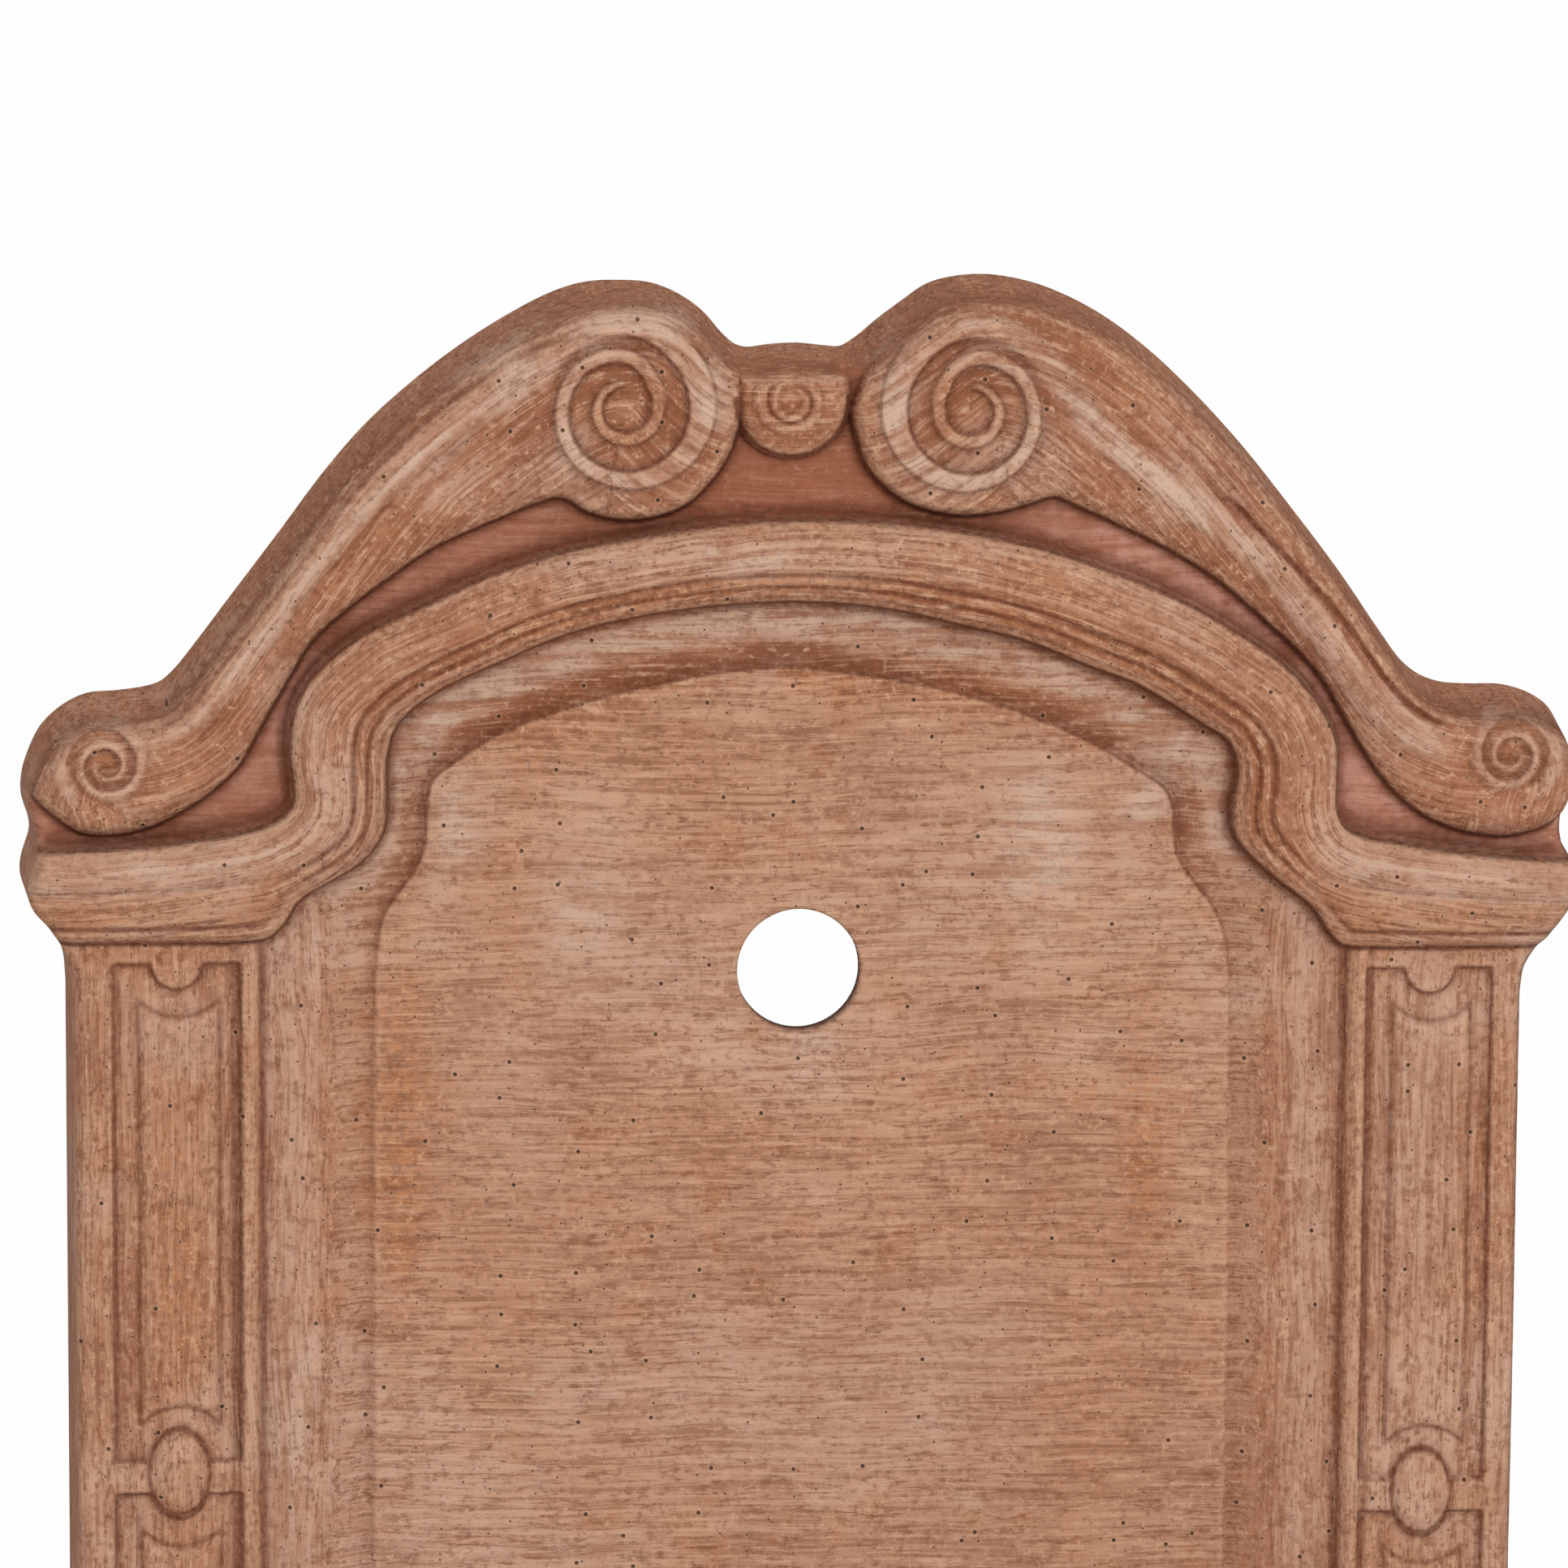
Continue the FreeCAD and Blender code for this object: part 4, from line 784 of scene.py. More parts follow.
def border_loops(faces):
    """The closed chains of edges that only one face uses."""
    edges = {}
    for face in faces:
        for a, b in zip(face, face[1:] + face[:1]):
            if (b, a) in edges:
                del edges[(b, a)]
            else:
                edges[(a, b)] = True
    follow = {}
    for a, b in edges:
        follow.setdefault(a, []).append(b)
    loops = []
    while follow:
        start = next(iter(follow))
        loop, here = [start], start
        while True:
            onward = follow[here].pop()
            if not follow[here]:
                del follow[here]
            if onward == start:
                break
            loop.append(onward)
            here = onward
        loops.append(loop)
    return loops


front_places, front_faces = clipped_grid(MARGIN)
loops = sorted(border_loops(front_faces), key=len, reverse=True)
print("face squares:", len(front_faces), "loops:", [len(loop) for loop in loops])

# %% [markdown]
# ## Tools for outlines
#
# The pockets of the back have outlines that step inwards ring by ring, with rounded corners.

# %%
def in_metres(x, depth, z):
    """A place on the panel as the scene's x, y and z."""
    return (x / 1000, (WALL - depth) / 1000, (PANEL_FOOT + z) / 1000)


def with_neighbours(points):
    """Each corner of a closed outline between the one before and the one after."""
    return zip(points[-1:] + points[:-1], points, points[1:] + points[:1])


def inset_corners(points, amount):
    """A convex outline moved inwards."""
    out = []
    for (ax, az), (bx, bz), (cx, cz) in with_neighbours(points):
        first = Vector((bx - ax, bz - az)).normalized()
        second = Vector((cx - bx, cz - bz)).normalized()
        n1, n2 = Vector((-first.y, first.x)), Vector((-second.y, second.x))
        shift = (n1 + n2) / (1 + n1.dot(n2))
        out.append((bx + shift.x * amount, bz + shift.y * amount))
    return out


def rounded_corners(points, radius, steps=5):
    """A convex outline with an arc at each corner."""
    out = []
    for corner in with_neighbours(points):
        a, b, c = (Vector(point) for point in corner)
        first, second = (b - a).normalized(), (c - b).normalized()
        turn = first.angle(second)
        reach = radius * math.tan(turn / 2)
        start, finish = b - first * reach, b + second * reach
        for step in range(steps + 1):
            t = step / steps
            out.append(tuple(start * (1 - t) ** 2 + b * (2 * t * (1 - t)) + finish * t ** 2))
    return out


print("corners of a rounded square:", len(rounded_corners([(0, 0), (9, 0), (9, 9), (0, 9)], 2)))

# %% [markdown]
# ## Tools for clay
#
# A piece is put together from rings and rows of vertices, with faces between them, and from flat
# lids with holes.

# %%
class Clay:
    """Vertices and faces of a piece while it is put together, as x, depth and z."""

    def __init__(self):
        self.points = []
        self.faces = []

    def add(self, x, depth, z):
        """The number of a new vertex."""
        self.points.append((x, depth, z))
        return len(self.points) - 1

    def wall(self, upper, lower):
        """Faces between two rings of vertices, the upper one as its face runs."""
        count = len(upper)
        for k in range(count):
            n = (k + 1) % count
            self.faces.append([upper[n], upper[k], lower[k], lower[n]])

    def strip(self, first, second, closed=False):
        """Faces between two rows. They look to the left of the way from first to second."""
        count = len(first)
        for k in range(count if closed else count - 1):
            n = (k + 1) % count
            self.faces.append([first[k], first[n], second[n], second[k]])

    def lid(self, outline, holes=(), axes=(0, 2), way=-1):
        """A flat face with holes, over two of x, depth and z. It looks to the wall, or up."""
        rings = [outline] + list(holes)
        flat = [number for ring in rings for number in ring]
        i, j = axes
        at = [[Vector((self.points[n][i], self.points[n][j], 0)) for n in ring] for ring in rings]
        for corners in geometry.tessellate_polygon(at):
            a, b, c = (flat[n] for n in corners)
            pa, pb, pc = (self.points[n] for n in (a, b, c))
            turn = (pb[i] - pa[i]) * (pc[j] - pa[j]) - (pb[j] - pa[j]) * (pc[i] - pa[i])
            self.faces.append([a, b, c] if turn * way > 0 else [c, b, a])

    def pocket(self, corners, radius, profile, inner=()):
        """A pocket in the back. The profile lists how far in and how deep each ring lies."""
        rings = []
        for inwards, depth in profile:
            outline = rounded_corners(inset_corners(corners, inwards), max(radius - inwards, 1.0))
            rings.append([self.add(x, depth, z) for x, z in outline])
        for upper, lower in zip(rings, rings[1:]):
            self.wall(upper[::-1], lower[::-1])
        self.lid(rings[-1], inner)
        return rings[0]


def rectangle(x0, z0, x1, z1):
    """The four corners, anticlockwise."""
    return [(x0, z0), (x1, z0), (x1, z1), (x0, z1)]


def mirrored(corners):
    """The same outline on the left, still running anticlockwise."""
    return [(-x, z) for x, z in reversed(corners)]


def ring_blur(values, reach):
    """A running mean round a closed ring."""
    wrapped = np.concatenate([values[-reach:], values, values[:reach]])
    return np.convolve(wrapped, np.ones(2 * reach + 1) / (2 * reach + 1), "valid")


def outward_ways(outline):
    """Softened directions that point out of a closed ring of (x, z)."""
    step = np.roll(outline, -1, 0) - np.roll(outline, 1, 0)
    ways = np.stack([step[:, 1], -step[:, 0]], 1)
    ways /= np.maximum(np.linalg.norm(ways, axis=1, keepdims=True), 1e-9)
    ways = np.stack([ring_blur(ways[:, 0], 6), ring_blur(ways[:, 1], 6)], 1)
    return ways / np.maximum(np.linalg.norm(ways, axis=1, keepdims=True), 1e-9)


print("a piece of clay starts with", len(Clay().points), "vertices")

# %% [markdown]
# ## One closed piece of clay
#
# The carved face, the outer sides, the ribbed back with its pockets and the wall of the tap hole
# are joined into one closed mesh. The sides flare out a little towards the wall, as a piece must to
# leave its mould.

# %%
DRAFT = 4.0
BACK_BEVEL = 0.9
PLATE_X = 110.0
# How far down the side each ring lies, from 1 at the face to 0 at the wall
SIDE_RINGS = (0.94, 0.85, 0.68, 0.45, 0.22, 0.05, 0.0)
# Rings of the back's bays and posts: how far in and how deep
BAY = [(-1.5, 0.0), (-0.4, 0.5), (0.0, 1.8), (1.6, 16.5), (3.0, 19.0), (5.5, 20.0)]
POST = [(-1.0, 20.0), (0.0, 21.2), (0.8, 31.0), (2.6, 34.0)]
# Rings of the tap hole's wall: how wide and how deep
HOLE_WALL = ((1.0, 33.0), (1.25, 31.0), (1.3, 20.0))

front_x, front_z = front_places.T
front_depth, _ = panel_surface(front_x, front_z)
clay = Clay()
clay.points = [(x, d, z) for (x, z), d in zip(front_places, front_depth)]
clay.faces = list(front_faces)
outer_loop, hole_loop = loops[0], loops[1]
rim = np.array([front_places[n] for n in outer_loop])
ways = outward_ways(rim)
if np.mean(np.sum(ways * (rim - (0, 300)), axis=1)) < 0:
    ways = -ways
back_outline = outer_loop
for share in SIDE_RINGS:
    flare = DRAFT * (1 - share) - (BACK_BEVEL if share == 0.0 else 0.0)
    fresh = []
    for n, (rx, rz), (wx, wz) in zip(outer_loop, rim, ways):
        above_foot = rz > 3
        x = rx + wx * flare * (1 if above_foot else min(1, abs(rx) / 200))
        z = max(rz + wz * flare, 0) if above_foot else max(rz, 0)
        fresh.append(clay.add(x, clay.points[n][1] * share, z))
    clay.wall(back_outline, fresh)
    back_outline = fresh
right_posts = [rectangle(199.5, 36, 207.0, 194), rectangle(199.5, 226, 207.0, 395)]
posts = [[clay.pocket(c, 3.0, POST) for c in (mirrored(right), right)] for right in right_posts]
hole_ring = hole_loop
for widening, depth in HOLE_WALL:
    fresh = []
    for n in hole_loop:
        x, _, z = clay.points[n]
        fresh.append(clay.add(x * widening, depth, TAP_Z + (z - TAP_Z) * widening))
    clay.wall(hole_ring, fresh)
    hole_ring = fresh
middle_outline = [(-213, 220), (213, 220), (213, 410), (173, 440), (-173, 440), (-213, 410)]
crest_outline = [(-126, 480), (126, 480), (57.3, 552.8), (0, 556.8), (-57.3, 552.8)]
openings = [clay.pocket(rectangle(-213, 30, 213, 200), 14, BAY, posts[0]),
            clay.pocket(middle_outline, 12, BAY, posts[1] + [hole_ring]),
            clay.pocket(crest_outline, 10, BAY)]
for x in (-PLATE_X, PLATE_X):
    head = clay.pocket(rectangle(x - 9, 450, x + 9, 472), 1.5, [(0, 2.5), (0.2, 12)])
    seat = rectangle(x - 32.3, 446.7, x + 32.3, 473.3)
    openings.append(clay.pocket(seat, 1.5, [(0, 0), (0.1, 2.5)], [head]))
clay.lid(back_outline, openings)
print("clay vertices:", len(clay.points), "faces:", len(clay.faces))

# %% [markdown]
# ## Thinned where it is flat
#
# The flat parts need few triangles. A group of vertices guards the places where the measures of the
# next step change quickly, so that no crease or patch is lost.

# %%
TARGET = 195000


def new_piece(name, vertices, faces):
    """A mesh object in the scene."""
    mesh = bpy.data.meshes.new(name)
    mesh.from_pydata(vertices, [], faces)
    mesh.validate()
    piece = bpy.data.objects.new(name, mesh)
    bpy.context.scene.collection.objects.link(piece)
    return piece


def applied(piece):
    """The piece with its modifiers made part of its mesh."""
    graph = bpy.context.evaluated_depsgraph_get()
    mesh = bpy.data.meshes.new_from_object(piece.evaluated_get(graph))
    old = piece.data
    piece.modifiers.clear()
    piece.data = mesh
    mesh.name = old.name
    bpy.data.meshes.remove(old)
    return piece


panel = new_piece("carved_panel", [in_metres(*p) for p in clay.points], clay.faces)
triangles = sum(len(face) - 2 for face in clay.faces)
guarded = on_board(detail, front_x, front_z)
group = panel.vertex_groups.new(name="thin_here")
levels = np.round(1 - 0.9 * guarded, 1)
print("guarded places:", int((guarded > 0.5).sum()))
for weight in np.unique(levels):
    group.add(np.nonzero(levels == weight)[0].tolist(), float(weight), "REPLACE")
group.add(list(range(len(front_places), len(clay.points))), 1.0, "REPLACE")
thinning = panel.modifiers.new("thin", "DECIMATE")
thinning.ratio = TARGET / triangles
thinning.vertex_group = group.name
thinning.vertex_group_factor = 4e-6
applied(panel)
print("panel:", triangles, "triangles thinned to", len(panel.data.polygons))

# %% [markdown]
# ## The measures at each vertex
#
# The measures are read at the vertices of the thinned mesh and kept as attributes. They fade out on
# the sides, and the tap hole's wall and the edge at the back get painted shade of their own.

# %%
CARVED_SHARP = math.radians(62)


def store(mesh, name, channels):
    """Keep up to four measures of each vertex as one attribute."""
    layer = mesh.attributes.new(name, "FLOAT_COLOR", "POINT")
    values = np.zeros((len(mesh.vertices), 4), np.float32)
    for k, channel in enumerate(channels):
        values[:, k] = channel
    layer.data.foreach_set("color", values.ravel())


mesh = panel.data
where = np.empty(len(mesh.vertices) * 3)
mesh.vertices.foreach_get("co", where)
where = where.reshape(-1, 3) * 1000
vx, vz, vd = where[:, 0], where[:, 2] - PANEL_FOOT, WALL - where[:, 1]
on_face = step_up(vd - on_board(DEPTH, vx, vz), -4.0, -1.5)
at_vertex = {name: on_board(drawing, vx, vz) * on_face for name, drawing in marks.items()}
# The tap hole's wall is painted near-black as painted shade
near_hole = np.hypot(vx, vz - TAP_Z) < TAP_RADIUS + 0.6
in_hole = near_hole * (1 - step_up(vd, FIELD - 2.5, FIELD - 1.0))
shaded_back_edge = step_down(vd, 0.0, 3.5) * (1 - on_face)
for name in ("bold", "upright"):
    at_vertex[name] = np.maximum(at_vertex[name], 1 - on_face)
# Painted shade along the edge at the back
at_vertex["cavity"] = np.maximum(at_vertex["cavity"], 0.3 * shaded_back_edge)
at_vertex.update(on_face=on_face, in_hole=in_hole, x=vx, z=vz,
                 along=on_board(flow_along, vx, vz), over=on_board(flow_across, vx, vz))
for layer, names in (("form", ("cavity", "ridge", "shade", "on_face")),
                     ("tone", ("red", "pale", "amber", "bold")),
                     ("flow", ("along", "over", "curved", "upright")),
                     ("pore", ("x", "z", "rose", "in_hole"))):
    store(mesh, layer, [at_vertex[name] for name in names])
mesh.shade_smooth()
mesh.set_sharp_from_angle(angle=CARVED_SHARP)
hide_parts("back_panel")
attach(panel, "fountain")
print("panel vertices with marks:", len(mesh.vertices))

# %% [markdown]
# ## Short words for node trees

# %%
class Value:
    """The output of a node. It is added, subtracted and multiplied like a number."""

    def __init__(self, nodes, socket):
        self.nodes, self.socket = nodes, socket

    def __add__(self, other):
        return self.nodes.math("ADD", self, other)

    def __radd__(self, other):
        return self.nodes.math("ADD", other, self)

    def __sub__(self, other):
        return self.nodes.math("SUBTRACT", self, other)

    def __rsub__(self, other):
        return self.nodes.math("SUBTRACT", other, self)

    def __mul__(self, other):
        return self.nodes.math("MULTIPLY", self, other)

    def clamped(self):
        """The same value, kept between 0 and 1."""
        self.socket.node.use_clamp = True
        return self


class Nodes:
    """Short words for building a node tree."""

    def __init__(self, owner):
        owner.use_nodes = True
        self.tree = owner.node_tree
        self.tree.nodes.clear()

    def make(self, kind, inputs, **settings):
        """A new node with its inputs and settings."""
        node = self.tree.nodes.new(kind)
        for key, value in settings.items():
            setattr(node, key, value)
        for key, value in inputs.items():
            if isinstance(value, Value):
                self.tree.links.new(value.socket, node.inputs[key])
            else:
                node.inputs[key].default_value = value
        return node

    def out(self, kind, inputs, output=0, **settings):
        """One output of a new node."""
        return Value(self, self.make(kind, inputs, **settings).outputs[output])

    def show(self, shader, target="Material"):
        """End the tree with this shader."""
        self.make("ShaderNodeOutput" + target, {"Surface": shader})

    def math(self, operation, a, b=0.0):
        return self.out("ShaderNodeMath", {0: a, 1: b}, operation=operation)

    def most(self, *values):
        return reduce(lambda a, b: self.math("MAXIMUM", a, b), values)

    def vector(self, operation, a, b):
        return self.out("ShaderNodeVectorMath", {0: a, 1: b}, operation=operation)

    def scale(self, a, factors):
        return self.vector("MULTIPLY", a, factors)

    def millimetres(self):
        """The place on the object, in millimetres."""
        place = self.out("ShaderNodeTexCoord", {}, "Object")
        return self.scale(place, (1000.0, 1000.0, 1000.0))

    def noise(self, place, scale, detail, roughness=0.55):
        return self.out("ShaderNodeTexNoise", {"Vector": place, "Scale": scale, "Detail": detail,
                                               "Roughness": roughness}, "Fac")

    def ramp(self, value, low, high, out_low=0.0, out_high=1.0):
        """Goes smoothly from one value at low to another at high."""
        return self.out("ShaderNodeMapRange", {"Value": value, "From Min": low, "From Max": high,
                                               "To Min": out_low, "To Max": out_high},
                        interpolation_type="SMOOTHSTEP")

    def mix(self, share, a, b):
        return self.out("ShaderNodeMix", {0: share, 2: a, 3: b}, data_type="FLOAT")

    def blend(self, share, a, b):
        return self.out("ShaderNodeMix", {0: share, 6: a, 7: b}, 2, data_type="RGBA")

    def coats(self, colour, *coats):
        """Coats of colour over each other, each with the share that it covers."""
        for share, coat in coats:
            colour = self.blend(share, colour, coat)
        return colour

    def parts(self, colour):
        return [Value(self, part) for part in
                self.make("ShaderNodeSeparateColor", {0: colour}).outputs]

    def attribute(self, name):
        """The four measures of an attribute."""
        node = self.make("ShaderNodeAttribute", {}, attribute_name=name)
        return (*self.parts(Value(self, node.outputs["Color"])), Value(self, node.outputs["Alpha"]))

    def relief(self, height, strength, depth):
        return self.out("ShaderNodeBump",
                        {"Strength": strength, "Distance": depth, "Height": height})


print("words for nodes:", sum(not word.startswith("_") for word in vars(Nodes)))

# %% [markdown]
# ## The colours of the clay

# %%
def paint(red, green, blue):
    """A colour given as the eye reads it, 0 to 255, in the light's own measure."""
    return tuple(((c / 255 + 0.055) / 1.055) ** 2.4 if c > 10 else c / 255 / 12.92
                 for c in (red, green, blue)) + (1.0,)


CLAY_BODY = paint(191, 145, 117)
CLAY_BOLD = paint(172, 114, 83)
CLAY_STREAK = paint(134, 84, 56)
CLAY_FLECK = paint(212, 168, 138)
CLAY_ORANGE = paint(186, 124, 86)
CLAY_RED = paint(134, 76, 50)
CLAY_ROSE = paint(165, 101, 75)
CLAY_PINK = paint(214, 158, 138)
CLAY_PALE = paint(206, 176, 156)
CLAY_AMBER = paint(192, 128, 84)
# Painted shade, and dirt, in the hollows and creases
CLAY_SHADE_AND_DIRT = paint(98, 50, 30)
# Painted shade on the sides, and painted light on their faces turned up
CLAY_SIDE_SHADED = paint(146, 101, 78)
CLAY_TOP_LIT = paint(196, 130, 94)
# Painted shade in the pits
CLAY_PIT_SHADE = paint(62, 32, 22)
# Painted shade on the tap hole's wall
CLAY_HOLE_SHADE = paint(30, 16, 12)
print("clay body:", [round(c, 3) for c in CLAY_BODY])

# %% [markdown]
# ## Fired clay
#
# The colour is built up as the clay was: red body, brushed slip in short streaks, a pale wash that
# stays on the high places, dust in the hollows, and a few pits and bright grains. Over it lies
# painted shade in the hollows and creases, in the pits and on the tap hole's wall, painted light on
# the pits' rims, and painted shade on the sides with painted light on their faces turned up.

# %%
def fired_clay(name):
    """Terracotta that reads the measures kept at a piece's vertices."""
    material = bpy.data.materials.new(name)
    n = Nodes(material)
    mm = n.millimetres()
    drift = n.out("ShaderNodeTexNoise", {"Vector": mm, "Scale": 0.014, "Detail": 1.0}, "Color")
    drift = n.scale(n.vector("ADD", drift, (-0.5, -0.5, -0.5)), (6.0, 6.0, 6.0))
    sway = n.vector("ADD", mm, drift)
    cavity, ridge, shade, on_face = n.attribute("form")
    red, pale, amber, bold = n.attribute("tone")
    along, across, curved, upright = n.attribute("flow")
    pore_x, pore_z, rose, in_hole = n.attribute("pore")
    across = across + n.noise(n.scale(mm, (0.05, 0.05, 0.05)), 1.0, 2.0) * 2.5

    # The brush ran level, upright on the pilasters and along the curved mouldings
    level, tall = n.scale(sway, (0.09, 0.09, 1.0)), n.scale(sway, (1.0, 0.4, 0.14))
    long_level, long_tall = n.scale(sway, (0.025, 0.025, 1.0)), n.scale(sway, (1.0, 0.4, 0.025))
    run, long_run = (n.out("ShaderNodeCombineXYZ", {0: along * pace, 1: across, 2: lane})
                     for pace, lane in ((0.12, 0.0), (0.03, 7.0)))

    def streaks(ways, scale, detail, roughness):
        """Streaks of one size, as the brush ran on each part."""
        flat, stood, bent = (n.noise(way, scale, detail, roughness) for way in ways)
        return n.mix(curved, n.mix(upright, flat, stood), bent)

    fine = streaks((level, tall, run), 0.56, 2.5, 0.6)
    broad = streaks((level, tall, long_run), 0.27, 2.0, 0.6)
    bristles = streaks((long_level, long_tall, long_run), 0.85, 1.5, 0.5)
    cloud = n.noise(mm, 0.012, 3.0, 0.6)
    mottle = n.noise(mm, 0.05, 5.0, 0.7)
    grain = n.noise(mm, 0.42, 3.0, 0.72)
    blotch = n.noise(n.scale(mm, (0.6, 0.6, 1.0)), 0.26, 3.0, 0.6)
    facing_up = n.parts(n.out("ShaderNodeNewGeometry", {}, "Normal"))[2]
    shown = n.most(on_face, n.ramp(facing_up, 0.1, 0.6))
    calm = (1.0 - rose * 0.6) * n.mix(pale, 1.0, 0.65)
    punch = n.mix(bold, 0.95, 1.2) * calm * n.mix(shown, 0.55, 1.0)

    # Body colour: orange and pale clouds under the brush, then rose, red, wash and amber, and
    # painted shade on the sides with painted light on their faces turned up
    ragged = mottle * 0.55 + broad * 0.45
    torn = n.ramp(ragged, 0.42, 0.56)
    body = n.coats(
        n.blend(bold, CLAY_BODY, CLAY_BOLD),
        (n.ramp(mottle, 0.52, 0.64) * 0.5, CLAY_ORANGE),
        (n.ramp(cloud, 0.42, 0.70) * 0.25, CLAY_RED),
        (n.ramp(cloud, 0.50, 0.36, 0.0, 0.55) * (0.3 + torn * 0.7), CLAY_PALE),
        (rose * 0.85, CLAY_ROSE),
        (red * n.ramp(ragged, 0.58, 0.46, 0.65, 1.0) * 0.9, CLAY_RED),
        ((pale * (0.3 + torn * 0.8)).clamped() * 0.95, n.blend(rose, CLAY_PALE, CLAY_PINK)),
        ((amber * n.ramp(grain, 0.42, 0.56)).clamped() * 0.95, CLAY_AMBER),
        # painted shade on the sides, painted light on their faces turned up
        ((1.0 - on_face) * 0.8, n.blend(n.ramp(facing_up, 0.1, 0.8), CLAY_SIDE_SHADED, CLAY_TOP_LIT)))

    # Brush: dark scratches, light flecks and a coarse skin, then painted shade in the wide hollows,
    # and dirt with painted shade in the creases
    bristle = n.math("ABSOLUTE", broad - 0.47)
    scratch = n.most(
        n.ramp(fine, 0.47, 0.35) * n.ramp(grain, 0.60, 0.42, 0.35, 1.0)
        * n.ramp(mottle, 0.38, 0.58, 0.45, 1.0),
        n.ramp(broad, 0.44, 0.30) * 0.6,
        n.ramp(bristle, 0.026, 0.006) * n.ramp(grain, 0.62, 0.45, 0.2, 0.9),
        n.ramp(bristles, 0.45, 0.34) * n.ramp(mottle, 0.62, 0.42, 0.25, 0.85))
    shine = n.most(
        n.ramp(fine, 0.54, 0.66) * n.ramp(grain, 0.42, 0.58, 0.4, 1.0),
        n.ramp(grain, 0.57, 0.70),
        n.ramp(broad, 0.58, 0.72) * 0.6,
        n.ramp(bristles, 0.57, 0.68) * n.ramp(mottle, 0.40, 0.60, 0.25, 0.9))
    rough_dark = n.most(n.ramp(grain, 0.44, 0.31), n.ramp(blotch, 0.44, 0.32) * 0.8)
    crease_dirt_and_shade = (n.ramp(cavity, 0.05, 0.8) * n.ramp(grain, 0.3, 0.65, 1.0, 0.75)).clamped()
    body = n.coats(
        body,
        (scratch * 0.80 * punch, CLAY_STREAK),
        (shine * 0.65 * punch, CLAY_FLECK),
        (rough_dark * 0.6 * punch, CLAY_STREAK),
        ((ridge * n.ramp(grain, 0.35, 0.62, 0.1, 0.6)).clamped(), CLAY_FLECK),
        # painted shade in the wide hollows, then dirt and painted shade in the creases
        (shade * 0.15, CLAY_SHADE_AND_DIRT),
        (crease_dirt_and_shade * 0.9, CLAY_SHADE_AND_DIRT))

    # Pits painted dark as painted shade, each with a paler rim of painted light, and the tap hole's
    # wall painted near-black as painted shade
    flat_place = n.out("ShaderNodeCombineXYZ", {0: pore_x, 1: pore_z, 2: 0.0})

    def holes(scale, small, large, share):
        """Round pits in some of the cells, and the rims round them."""
        cells = n.make("ShaderNodeTexVoronoi",
                       {"Vector": flat_place, "Scale": scale, "Randomness": 1.0},
                       feature="F1", voronoi_dimensions="2D")
        away, colour = (Value(n, cells.outputs[name]) for name in ("Distance", "Color"))
        picked = n.math("GREATER_THAN", n.parts(colour)[0], 1 - share)
        return (n.ramp(away, small, large, 1.0, 0.0) * picked,
                n.ramp(away, large, 2 * large, 1.0, 0.0) * picked)

    pit, pit_rim = holes(0.045, 0.012, 0.034, 0.55)
    pin, pin_rim = holes(0.13, 0.020, 0.055, 0.22)
    on_front = on_face * (1.0 - rose)
    shaded_pits = n.most(pit, pin * 0.7) * on_front
    lit_pit_rims = n.most(pit_rim, pin_rim * 0.6) * on_front
    body = n.coats(body, (lit_pit_rims * 0.3, CLAY_FLECK), (shaded_pits * 0.85, CLAY_PIT_SHADE),
                   (in_hole * 0.97, CLAY_HOLE_SHADE))

    height = fine * 0.34 + broad * 0.26 + (grain * 0.30 + blotch * 0.20) - shaded_pits * 0.6
    n.show(n.out("ShaderNodeBsdfPrincipled", {
        "Base Color": body, "Roughness": n.ramp(fine, 0.3, 0.7, 0.93, 0.82),
        "Normal": n.relief(height, 1.0, 0.0022), "Specular IOR Level": 0.2}))
    return material


clay_skin = fired_clay("fired_clay")
panel.data.materials.append(clay_skin)
print("material nodes:", len(clay_skin.node_tree.nodes))

# %% [markdown]
# ## The basin and the pedestal
#
# Both are bow-fronted: a profile runs from one end at the wall, round the front, to the other end.
# The basin has a half-round bowl and a ledge that is hollow towards the wall, and the pedestal is
# a hollow shell. Their edges are softened a little, as clay edges are.

# %%
# The bow starts this far from the wall
BOW = 80.0
TURNED_SHARP = math.radians(50)
BASIN_FOOT = PANEL_FOOT - 193.0


def softened_profile(points, sigma=1.0, spacing=1.0):
    """A profile with its corners rounded, as evenly spaced (radius, z)."""
    dense = []
    for (ax, az), (bx, bz) in zip(points, points[1:]):
        count = max(1, int(round(math.hypot(bx - ax, bz - az) / spacing)))
        dense += [(ax + (bx - ax) * k / count, az + (bz - az) * k / count) for k in range(count)]
    dense = np.array(dense + [points[-1]])
    reach = int(3 * sigma / spacing) + 1
    weights = np.exp(-0.5 * (np.arange(-reach, reach + 1) * spacing / sigma) ** 2)
    weights /= weights.sum()
    before = 2 * dense[0] - dense[reach:0:-1]
    after = 2 * dense[-1] - dense[-2:-reach - 2:-1]
    padded = np.vstack([before, dense, after])
    return np.stack([np.convolve(padded[:, k], weights, "valid") for k in (0, 1)], 1)


def bow(radius, straight=5, curved=110):
    """Places (x, depth) from the left end at the wall, round the front, to the right end."""
    left = [(-radius, BOW * k / straight) for k in range(straight)]
    angles = [math.pi * k / curved for k in range(curved + 1)]
    front = [(-radius * math.cos(a), BOW + radius * math.sin(a)) for a in angles]
    return left + front + [(-x, d) for x, d in reversed(left)]


